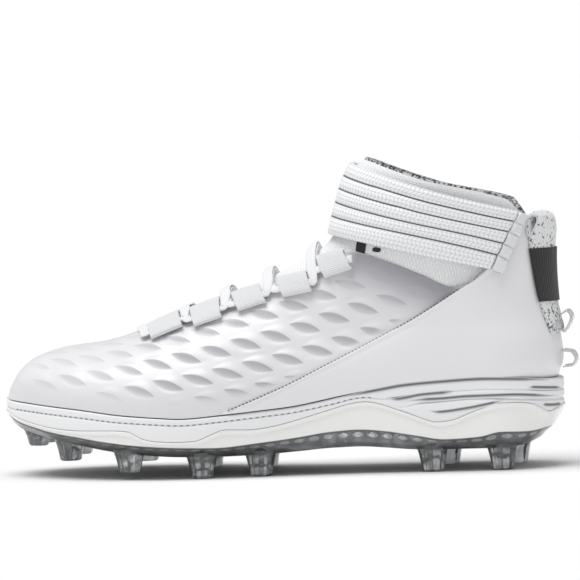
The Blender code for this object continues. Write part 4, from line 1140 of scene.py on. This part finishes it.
def build_lining_gaps(count=9):
    """Two small gaps in the knit beside the strap's front corner, where the dark lining shows."""
    mesh = new_sheet()
    for share, height, long, tall in LINING_GAPS:
        t = np.linspace(-0.5, 0.5, count)
        u, v = np.meshgrid(t, t, indexing="ij")
        u, v = u * np.sqrt(1 - 1.4 * v**2), v * np.sqrt(1 - 1.4 * u**2)
        x, z = station_x(share) + u * long + v * 0.0010, upper_z(height) + v * tall - u * 0.0008
        points = surface_frame(-1, x, z, np.full_like(x, 0.0004 - SLEEVE_DROP))[0]
        add_patch(mesh, points, chart_of(x, z) * 1000)
    settle(mesh)
    dark = Look("lining_gap", (0.03, 0.03, 0.035), 0.9).material
    add_piece("lining_gaps", mesh, [dark])


build_sleeve()
build_lining_gaps()


# Strap
# A wide padded ankle strap: five knitted ribs with stitched dark channels between them. It closes at the
# outer heel with a moulded tip of five blocks.
STRAP_WALL = 0.0020
STRAP_RIB = 0.0013
STRAP_DROP = 0.0008
STRAP_REAR_LIFT = 0.0019
STRAP_HUG = 0.0026
STRAP_FRONT = ((0.592, 0.642), (0.632, 0.946))
STRAP_END = ((0.884, 0.482), (0.930, 0.722))
STRAP_TIP_END = ((0.905, 0.452), (0.945, 0.699))
STRAP_RIBS = (0.0, 0.25, 0.445, 0.64, 0.82, 1.0)
STRAP_OVERLAP = (0.62, 0.86)
STRAP_CHART = 38.0
STRAP_GREY = (0.93, 0.935, 0.95)
TIP_WALL = 0.0024
TIP_BLOCK = 0.0013


def strap_place(across, along, ends):
    """Places along the shoe and heights, at shares across the strap and round to its end corners."""
    front = [low + (high - low) * across for low, high in zip(*STRAP_FRONT)]
    end = [low + (high - low) * across for low, high in zip(*ends)]
    z = upper_z(front[1] + (end[1] - front[1]) * along)
    end_run = station_x(end[0]) - front_x(upper_z(end[1]))
    return front_x(z) + end_run * along, z


def strap_lift(x):
    start, end = STRAP_OVERLAP
    return -STRAP_DROP + (STRAP_DROP + STRAP_REAR_LIFT) * ease((station(x) - start) / (end - start))


def rib_place(across):
    """Place inside a rib, from 0 to 1, for each place across the strap."""
    index = np.clip(np.searchsorted(STRAP_RIBS, across, side="right") - 1, 0, len(STRAP_RIBS) - 2)
    low, high = np.take(STRAP_RIBS, index), np.take(STRAP_RIBS, index + 1)
    return (across - low) / (high - low)


def strap_material():
    """Padded knit, with painted shade between its loops. The chart's second axis is the place across the
    strap, so the channels are drawn there.
    """
    look = Look("strap_knit", STRAP_GREY, 0.8, Sheen_Weight=0.25)
    along, across = look.chart.axis("X"), look.chart.axis("Y")
    dark = (along - 4.2).math("ABSOLUTE").ramp(0.6, 0.2, 0.0, 0.7)
    for edge in STRAP_RIBS[1:-1]:
        line = (across - edge * STRAP_CHART).math("ABSOLUTE").ramp(0.60, 0.22)
        dark = dark.math("MAXIMUM", line * along.ramp(4.0, 5.0))
    level = look.group(KNIT, look.chart, 2.2, 2.3) + look.noise(1300) * 0.3
    # Painted shade: the knit's low places between loops are darker.
    knit = level.ramp(0.2, 0.95).mix(darker(STRAP_GREY, 0.74), STRAP_GREY)
    look.set(Base_Color=dark.mix(knit, (0.13, 0.135, 0.145)))
    return look.bump(level * (1.0 - dark), 0.45, 0.0005)


def build_strap(columns=130):
    across = np.unique(np.concatenate([
        low + (high - low) * (0.5 - 0.5 * np.cos(np.linspace(0, math.pi, 13)))
        for low, high in zip(STRAP_RIBS[:-1], STRAP_RIBS[1:])
    ]))
    along = 1 - np.cos(np.linspace(0, math.pi / 2, columns))
    along = 0.5 * (along + np.linspace(0, 1, columns) ** 1.2)
    inside = rib_place(across)
    rib = 1 - np.abs(2 * inside - 1) ** 2.6
    mesh = new_sheet()
    for side in (-1, 1):
        points = np.array([upper_point(side, *strap_place(place, along, STRAP_END)) for place in across])
        run = girth(points)
        uv = chart_of(run, across[:, None] * STRAP_CHART)
        past_front = ease((run - 3.5) / 5)
        swell = past_front * rib[:, None] + (1 - past_front) * 0.55
        end = ease(np.minimum(across, 1 - across) / 0.03)[:, None]
        lift = strap_lift(points[..., 0]) + STRAP_WALL + (swell - 0.62) * STRAP_RIB * end - 0.0006 * (1 - end)
        if side > 0:
            rear = ease((station(points[..., 0]) - 0.62) / 0.2)
            lift -= STRAP_HUG * ease((across[:, None] - 0.45) / 0.55) * rear
        add_patch(mesh, points, uv, lift)
    settle(mesh)
    piece = add_walled("strap_ribs", mesh, [strap_material()], "strap", STRAP_WALL * 0.75)


def tip_material():
    """Milky translucent plastic."""
    milky = (0.90, 0.91, 0.92)
    look = Look(
        "moulded_tip", milky, 0.28, Specular_IOR_Level=0.5, Subsurface_Weight=0.3, Coat_Weight=0.25,
        Subsurface_Radius=(0.002, 0.002, 0.002), Transmission_Weight=0.15,
    )
    look.set(Base_Color=look.shaded(milky, 0.03))
    return look.bump(look.noise(1800, 2), 0.08, 0.0003)


def build_tip(columns=16, steps=13):
    """Each rib ends in a block with rounded ends; all five are one sheet that dips between them."""
    t = np.linspace(0.03, 0.97, steps)
    span = np.linspace(0.02, 0.98, columns)
    rows = np.concatenate([low + (high - low) * t for low, high in zip(STRAP_RIBS[:-1], STRAP_RIBS[1:])])
    block = np.tile(closure(np.minimum(t - 0.03, 0.97 - t) / 0.16), len(STRAP_RIBS) - 1)
    points = []
    for across in rows:
        start, end = (np.array(strap_place(across, 1.0, ends)) for ends in (STRAP_END, STRAP_TIP_END))
        line = start + (end - start) * (0.06 + 0.94 * span[:, None])
        points.append(upper_point(-1, line[:, 0], line[:, 1]))
    points = np.array(points)
    ends = closure(np.minimum(span - 0.02, 0.98 - span) / 0.2)
    lift = STRAP_REAR_LIFT + 0.0002 + TIP_WALL - TIP_BLOCK * (1 - np.outer(block, ends))
    mesh = new_sheet()
    add_patch(mesh, points, chart_of(girth(points), rows[:, None] * STRAP_CHART), lift)
    settle(mesh)
    add_walled("tip_blocks", mesh, [tip_material()], "strap_tip", TIP_WALL - TIP_BLOCK)


build_strap()
build_tip()


# Heel tab and loops
# A woven pull tab folded over the heel's top and sewn down with a zigzag, a black band round its middle,
# and under it two thin loops of clear film.
TAB_WIDTH = 0.030
TAB_WALL = 0.0016
BAND_WALL = 0.0006
LOOP_WIDTH = 0.014
LOOP_WALL = 0.0008
TAB_PATH = (
    (0.194, 1.0020), (0.258, 0.9990), (0.323, 0.9940), (0.403, 0.9920), (0.476, 0.9910), (0.565, 0.9920),
    (0.637, 0.9950), (0.681, 0.9930), (0.706, 0.9860), (0.708, 0.9780), (0.690, 0.9720), (0.650, 0.9725),
    (0.610, 0.9745),
)
BAND_SPAN = (0.328, 0.560)
PICK = 0.55
ZIGZAG_STITCHES = 34
THREAD_SIZE = (0.0056, 0.0007, 0.0006)
UPPER_LOOP_PATH = ((0.272, 1.0060), (0.284, 1.0160), (0.256, 1.0235), (0.218, 1.0180), (0.190, 1.0090))
LOWER_LOOP_PATH = ((0.113, 1.0060), (0.107, 1.0215), (0.077, 1.0290), (0.045, 1.0220), (0.040, 1.0065))


def rounded(path, per_span=6):
    """A smooth line through a few points, as heights and stations."""
    run = run_along(np.multiply(path, (UPPER_RISE, LENGTH)))
    return resample(run, path, np.linspace(0, run[-1], per_span * (len(path) - 1) + 1))


def heel_strip(name, path, width, wall, lift, material, replaced, columns=25, hug=0.0):
    """A ribbon round the heel. Where it hugs the heel, its two edges are drawn in to the panel's face."""
    across = np.linspace(-0.5, 0.5, columns) * width
    heel_width = PLAN[-1][1] * BALL_WIDTH
    points = []
    for height, share in rounded(path):
        x, z = spot(share, height)
        bend = heel_radius(z) * (1 - np.sqrt(1 - (across / heel_width) ** 2))
        slack = x - back_x(z) - QUARTER_LIFT - QUARTER_WALL - wall
        bend = bend + hug * max(slack, 0) * ease((0.70 - height) / 0.12) * (2 * across / width) ** 2
        points.append(np.stack([x - bend, across, np.full(columns, z)], axis=1))
    points = np.array(points)
    uv = chart_of(across[None] * 1000, girth(points.transpose(1, 0, 2)).T)
    edge = np.abs(across) / width * 2
    mesh = new_sheet()
    add_patch(mesh, points, uv, lift + wall / 2 - 0.0003 * ease((edge - 0.86) / 0.14)[None])
    settle(mesh)
    add_walled(name, mesh, [material], replaced, wall)
    return points


def woven_material(name, colour, rib, strength, flecks=0.0):
    """Narrow woven ribbon, ribbed along its length, with painted shade in the low places of its weave. Flecks
    of dark yarn can be mixed in.
    """
    look = Look(name, colour, 0.75, Sheen_Weight=0.2)
    ribs = (look.chart.axis("X") * (2 * math.pi / rib)).math("SINE")
    picks = (look.chart.axis("Y") * (2 * math.pi / PICK)).math("SINE")
    level = ribs * 0.35 + picks * 0.15 + 0.5
    # Painted shade: the low places of the ribs and picks are darker.
    yarn = level.mix(darker(colour, 0.86), colour)
    if flecks:
        near_foot = look.place.axis("Z").ramp(0.092, 0.076, 0.0, 0.07)
        spots = (look.noise(620, 2) + near_foot).ramp(0.60, 0.66, 0.0, flecks)
        yarn = spots.mix(yarn, (0.06, 0.06, 0.065))
    look.set(Base_Color=yarn)
    return look.bump(level, strength, 0.0004)


def film_material():
    look = Look("clear_loop", (0.96, 0.97, 0.98), 0.2, IOR=1.4, Coat_Weight=0.2, Transmission_Weight=0.55)
    look.set(Roughness=look.noise(300).ramp(0.3, 0.7, 0.1, 0.25))
    return look.material


def zigzag(tab_points):
    """The zigzag of white thread that sews the tab's foot to the heel."""
    rows = tab_points[:9]
    last = rows.shape[1] - 1
    places, ways = [], []
    for index in range(ZIGZAG_STITCHES):
        middle = 0.06 + 0.88 * (index + 0.5) / ZIGZAG_STITCHES
        low, high = (0.6, 4.6) if index % 2 else (4.6, 0.6)
        start, end = (
            rows[round(height), round(min(max((middle + lean) * last, 0), last))]
            for height, lean in ((low, -0.013), (high, 0.013))
        )
        places.append((start + end) / 2 + np.array((0.0011, 0, 0)))
        ways.append(end - start)
    outs = [(1, 0, 0)] * len(places)
    thread = Look("tab_thread", (0.62, 0.63, 0.65), 0.7).material
    build_dashes("tab_zigzag", places, ways, outs, THREAD_SIZE, thread)


def build_heel_pieces():
    knit = woven_material("tab_knit", (0.87, 0.875, 0.885), 1.3, 0.5, 0.9)
    zigzag(heel_strip(
        "tab_ribbon", TAB_PATH, TAB_WIDTH + 0.002, TAB_WALL, 0.0, knit, "pull_tab", hug=0.9
    ))
    band = [(height, smooth(TAB_PATH[:8], height)) for height in np.linspace(*BAND_SPAN, 5)]
    black = woven_material("tab_band", (0.022, 0.022, 0.024), 1.1, 0.8)
    lift = TAB_WALL / 2 + GAP + BAND_WALL / 2
    heel_strip(
        "tab_black", band, TAB_WIDTH + 0.0025, BAND_WALL, lift, black, "pull_tab_band", hug=0.9
    )
    film = film_material()
    for end, path in (("upper", UPPER_LOOP_PATH), ("lower", LOWER_LOOP_PATH)):
        heel_strip(f"film_loop_{end}", path, LOOP_WIDTH, LOOP_WALL, 0, film, f"heel_loop_{end}")


build_heel_pieces()


# Lace tunnels
# Five pairs of flat webbing tubes along the throat, ribbed along their length and sewn to the skin's edge.
TUNNEL_GAP = 0.0008
TUNNEL_WALL = 0.0009
TUNNEL_CLEAR = 0.0020
TUNNELS = (
    ((0.270, 0.250), (0.325, 0.306), (0.338, 0.250), (0.283, 0.198)),
    ((0.347, 0.318), (0.401, 0.364), (0.408, 0.286), (0.360, 0.248)),
    ((0.422, 0.382), (0.473, 0.420), (0.488, 0.349), (0.438, 0.311)),
    ((0.505, 0.449), (0.561, 0.479), (0.572, 0.396), (0.519, 0.370)),
    ((0.579, 0.538), (0.631, 0.580), (0.647, 0.494), (0.596, 0.452)),
)


def tunnel_place(corners, along, across):
    """Places along the shoe and heights, from shares along and across a tunnel's four corners."""
    corners = np.asarray(corners)
    along, across = np.asarray(along)[..., None], np.asarray(across)[..., None]
    upper = corners[0] + (corners[1] - corners[0]) * along
    lower = corners[3] + (corners[2] - corners[3]) * along
    place = upper + (lower - upper) * across
    return station_x(place[..., 0]), upper_z(place[..., 1])


def flat_section(low, high, bottom, top, count=36, power=3.2):
    """A flattened oval as places across the webbing and lifts above the skin, closed."""
    angle = np.linspace(0, 2 * math.pi, count + 1)
    c, s = np.cos(angle), np.sin(angle)
    across = (low + high) / 2 + (high - low) / 2 * np.sign(c) * np.abs(c) ** (2 / power)
    lift = (bottom + top) / 2 + (top - bottom) / 2 * np.sign(s) * np.abs(s) ** (2 / power * 1.4)
    return across, lift


def build_tunnel(name, side, corners, material, steps=15):
    rise = TUNNEL_GAP + 2 * TUNNEL_WALL + TUNNEL_CLEAR
    outer = flat_section(0.0, 1.0, TUNNEL_GAP, rise)
    inner = flat_section(0.09, 0.91, TUNNEL_GAP + TUNNEL_WALL * 0.9, rise - TUNNEL_WALL * 0.9)
    mesh = new_sheet()
    tubes = []
    along = np.linspace(0, 1, steps)[:, None]
    swell = 1 + 0.06 * np.sin(math.pi * along)
    for across, lift in (outer, inner):
        x, z = tunnel_place(corners, *np.broadcast_arrays(along, across))
        tube = surface_frame(side, x, z, TUNNEL_GAP + (lift - TUNNEL_GAP) * swell)[0]
        tubes.append(tube)
        add_patch(mesh, tube, chart_of(girth(tube), girth(tube.transpose(1, 0, 2)).T))
    for end in (0, -1):
        share = np.linspace(0, 1, 4)[None, :, None]
        one, two = tubes[0][end][:, None], tubes[1][end][:, None]
        cap = one + (two - one) * share
        add_patch(mesh, cap, cap[..., :2] * 1000)
    settle(mesh, join=0.00001, closed=True)
    piece = add_piece(f"webbing_{name}", mesh, [material], [f"lace_loop_{name}"])
    add_bevel(piece, 0.00025, 2, 50)


WEBBING = woven_material("webbing", (0.89, 0.895, 0.91), 1.05, 0.8)
for level, corners in enumerate(TUNNELS, start=1):
    build_tunnel(f"lateral_{level}", -1, corners, WEBBING)
    build_tunnel(f"medial_{level}", 1, corners, WEBBING)


# Lace
# One flat woven white lace. It runs from the top outer tunnel down to a bar at the toe end and back up,
# crossing over the tongue between each pair of tunnels. Its ends stop inside the top tunnels.
LACE_WIDTH = 0.0042
LACE_CROSSING_WIDTH = 0.0060
LACE_THICKNESS = 0.0010
LACE_FRONT = TUNNELS[0][0][0] - 0.020
LACE_LIFT = TUNNEL_GAP + TUNNEL_WALL + TUNNEL_CLEAR / 2
# Lift of a crossing beside the ridge and on it, for the lace underneath and the one on top
LACE_LOW = (0.0014, 0.0003)
LACE_HIGH = (0.0029, 0.0019)


def lace_points(side, places, width):
    x, z, lift = np.array(places).T
    return [(*row, width) for row in zip(*surface_frame(side, x, z, lift))]


def ridge_point(share, lift):
    slope = (smooth(TOP, share + 0.004) - smooth(TOP, share - 0.004)) * UPPER_RISE / (0.008 * LENGTH)
    normal = np.array([-slope, 0.0, 1.0]) / math.hypot(slope, 1.0)
    x = station_x(share)
    return np.array([x, ridge_y(x), top_z(share)]) + normal * lift, normal, LACE_CROSSING_WIDTH


def through_tunnel(side, level):
    rows = [(*tunnel_place(TUNNELS[level], along, 0.56), LACE_LIFT) for along in (-0.15, 0.05, 0.95, 1.15)]
    return lace_points(side, rows, LACE_WIDTH)


def crossing(side, level, above):
    """From the gap behind a tunnel up over the ridge, and down to the same gap on the other side."""
    beside, on_ridge = LACE_HIGH if above else LACE_LOW
    gap = np.add(TUNNELS[level][1], TUNNELS[level + 1][0]) / 2
    top = np.array([gap[0] - 0.004, smooth(TOP, gap[0] - 0.004)])
    rows = [(*spot(*(gap + (top - gap) * share)), beside) for share in (-0.2, 0.5)]
    up, down = (lace_points(way, rows, LACE_CROSSING_WIDTH) for way in (side, -side))
    return up + [ridge_point(top[0], on_ridge)] + down[::-1]


def lace_route():
    halves = []
    for start in (-1, 1):
        side, points = start, []
        for level in range(len(TUNNELS)):
            above = (level % 2 == 0) == (start < 0)
            points += through_tunnel(side, level)
            if level < len(TUNNELS) - 1:
                points += crossing(side, level, above)
            side = -side
        halves.append(points)
    leave = np.array(tunnel_place(TUNNELS[0], 0.0, 0.5))
    place = leave + (spot(LACE_FRONT, smooth(TOP, LACE_FRONT)) - leave) * 0.45
    bar = [lace_points(side, [(*place, LACE_LOW[0])], LACE_CROSSING_WIDTH) for side in (-1, 1)]
    return halves[0][::-1] + bar[0] + [ridge_point(LACE_FRONT, LACE_LOW[0])] + bar[1] + halves[1]


def build_lace(per_span=7, around=20):
    route = [np.hstack(row) for row in lace_route()]
    run = run_along(np.array(route)[:, :3])
    at = np.interp(np.arange(per_span * (len(run) - 1) + 1) / per_span, np.arange(len(run)), run)
    rows = resample(run, route, at)
    middle, upright, width = rows[:, :3], rows[:, 3:6], rows[:, 6:]
    tangent = np.gradient(middle, axis=0)
    across = np.cross(tangent, upright)
    across /= np.linalg.norm(across, axis=1, keepdims=True)
    upright = np.cross(across, tangent)
    upright /= np.linalg.norm(upright, axis=1, keepdims=True)
    angle = np.linspace(0, 2 * math.pi, around + 1)
    wide, high = (np.sign(wave) * np.abs(wave) ** 0.6 / 2 for wave in (np.cos(angle), np.sin(angle)))
    crown = 0.0003 * (1 - (2 * wide) ** 2)
    points = (
        middle[:, None]
        + across[:, None] * (wide * width)[..., None]
        + upright[:, None] * (high * LACE_THICKNESS + crown)[None, :, None]
    )
    start, finish = (np.repeat(middle[end, None, None], around + 1, 1) for end in (0, -1))
    points = np.concatenate([start, points, finish])
    along = 1000 * np.concatenate([[0], at, at[-1:]])
    mesh = new_sheet()
    add_patch(mesh, points, chart_of((wide * LACE_WIDTH * 1000)[None], along[:, None]))
    settle(mesh, join=0.00001, closed=True)
    lace = woven_material("lace", (0.90, 0.905, 0.92), 0.8, 0.3)
    add_piece("lace_flat", mesh, [lace], ["lace"])


build_lace()


# Stage
# A plain white floor under soft light from above, and the camera at the photograph's angle.
FLOOR_SIZE = 45
FLOOR_WHITE = (0.92, 0.92, 0.92)
SKY_STRENGTH = 0.45
SUN_STRENGTH = 2.25
SUN_SPREAD = 45
SUN_FROM = (-55, 75)
CAMERA_FROM = (7.73, 3.23)
CAMERA_ROLL = -1.81
CAMERA_DISTANCE = 3.5
CAMERA_AIM = (0.0017, 0.0, 0.0974)
CAMERA_LENS = 402.5


def direction(azimuth, elevation):
    """Unit vector towards a place round the shoe; azimuth 0 is its outer side."""
    a, e = math.radians(azimuth), math.radians(elevation)
    return Vector((math.sin(a) * math.cos(e), -math.cos(a) * math.cos(e), math.sin(e)))


def build_stage():
    mesh = bmesh.new()
    bmesh.ops.create_grid(mesh, x_segments=1, y_segments=1, size=FLOOR_SIZE)
    data = bpy.data.meshes.new("floor")
    mesh.to_mesh(data)
    mesh.free()
    data.materials.append(Look("floor_white", FLOOR_WHITE, 0.7, Specular_IOR_Level=0.1).material)
    add_object("floor", data)
    world = bpy.data.worlds.new("studio")
    world.use_nodes = True
    sky = world.node_tree.nodes["Background"].inputs
    sky["Color"].default_value = (1.0, 1.0, 1.0, 1)
    sky["Strength"].default_value = SKY_STRENGTH
    bpy.context.scene.world = world


def build_sun():
    lamp = bpy.data.lights.new("overhead", "SUN")
    lamp.energy = SUN_STRENGTH
    lamp.angle = math.radians(SUN_SPREAD)
    add_object("overhead", lamp).rotation_euler = direction(*SUN_FROM).to_track_quat("Z", "Y").to_euler()


def build_camera():
    data = bpy.data.cameras.new("camera")
    data.lens = CAMERA_LENS
    data.sensor_width = 36
    away = direction(*CAMERA_FROM)
    turn = away.to_track_quat("Z", "Y").to_matrix() @ Matrix.Rotation(math.radians(CAMERA_ROLL), 3, "Z")
    camera = add_object("camera", data)
    camera.matrix_world = Matrix.Translation(Vector(CAMERA_AIM) + away * CAMERA_DISTANCE) @ turn.to_4x4()
    bpy.context.scene.camera = camera


build_stage()
build_sun()
build_camera()
bpy.context.scene.view_settings.view_transform = "Standard"

bpy.context.view_layer.update()
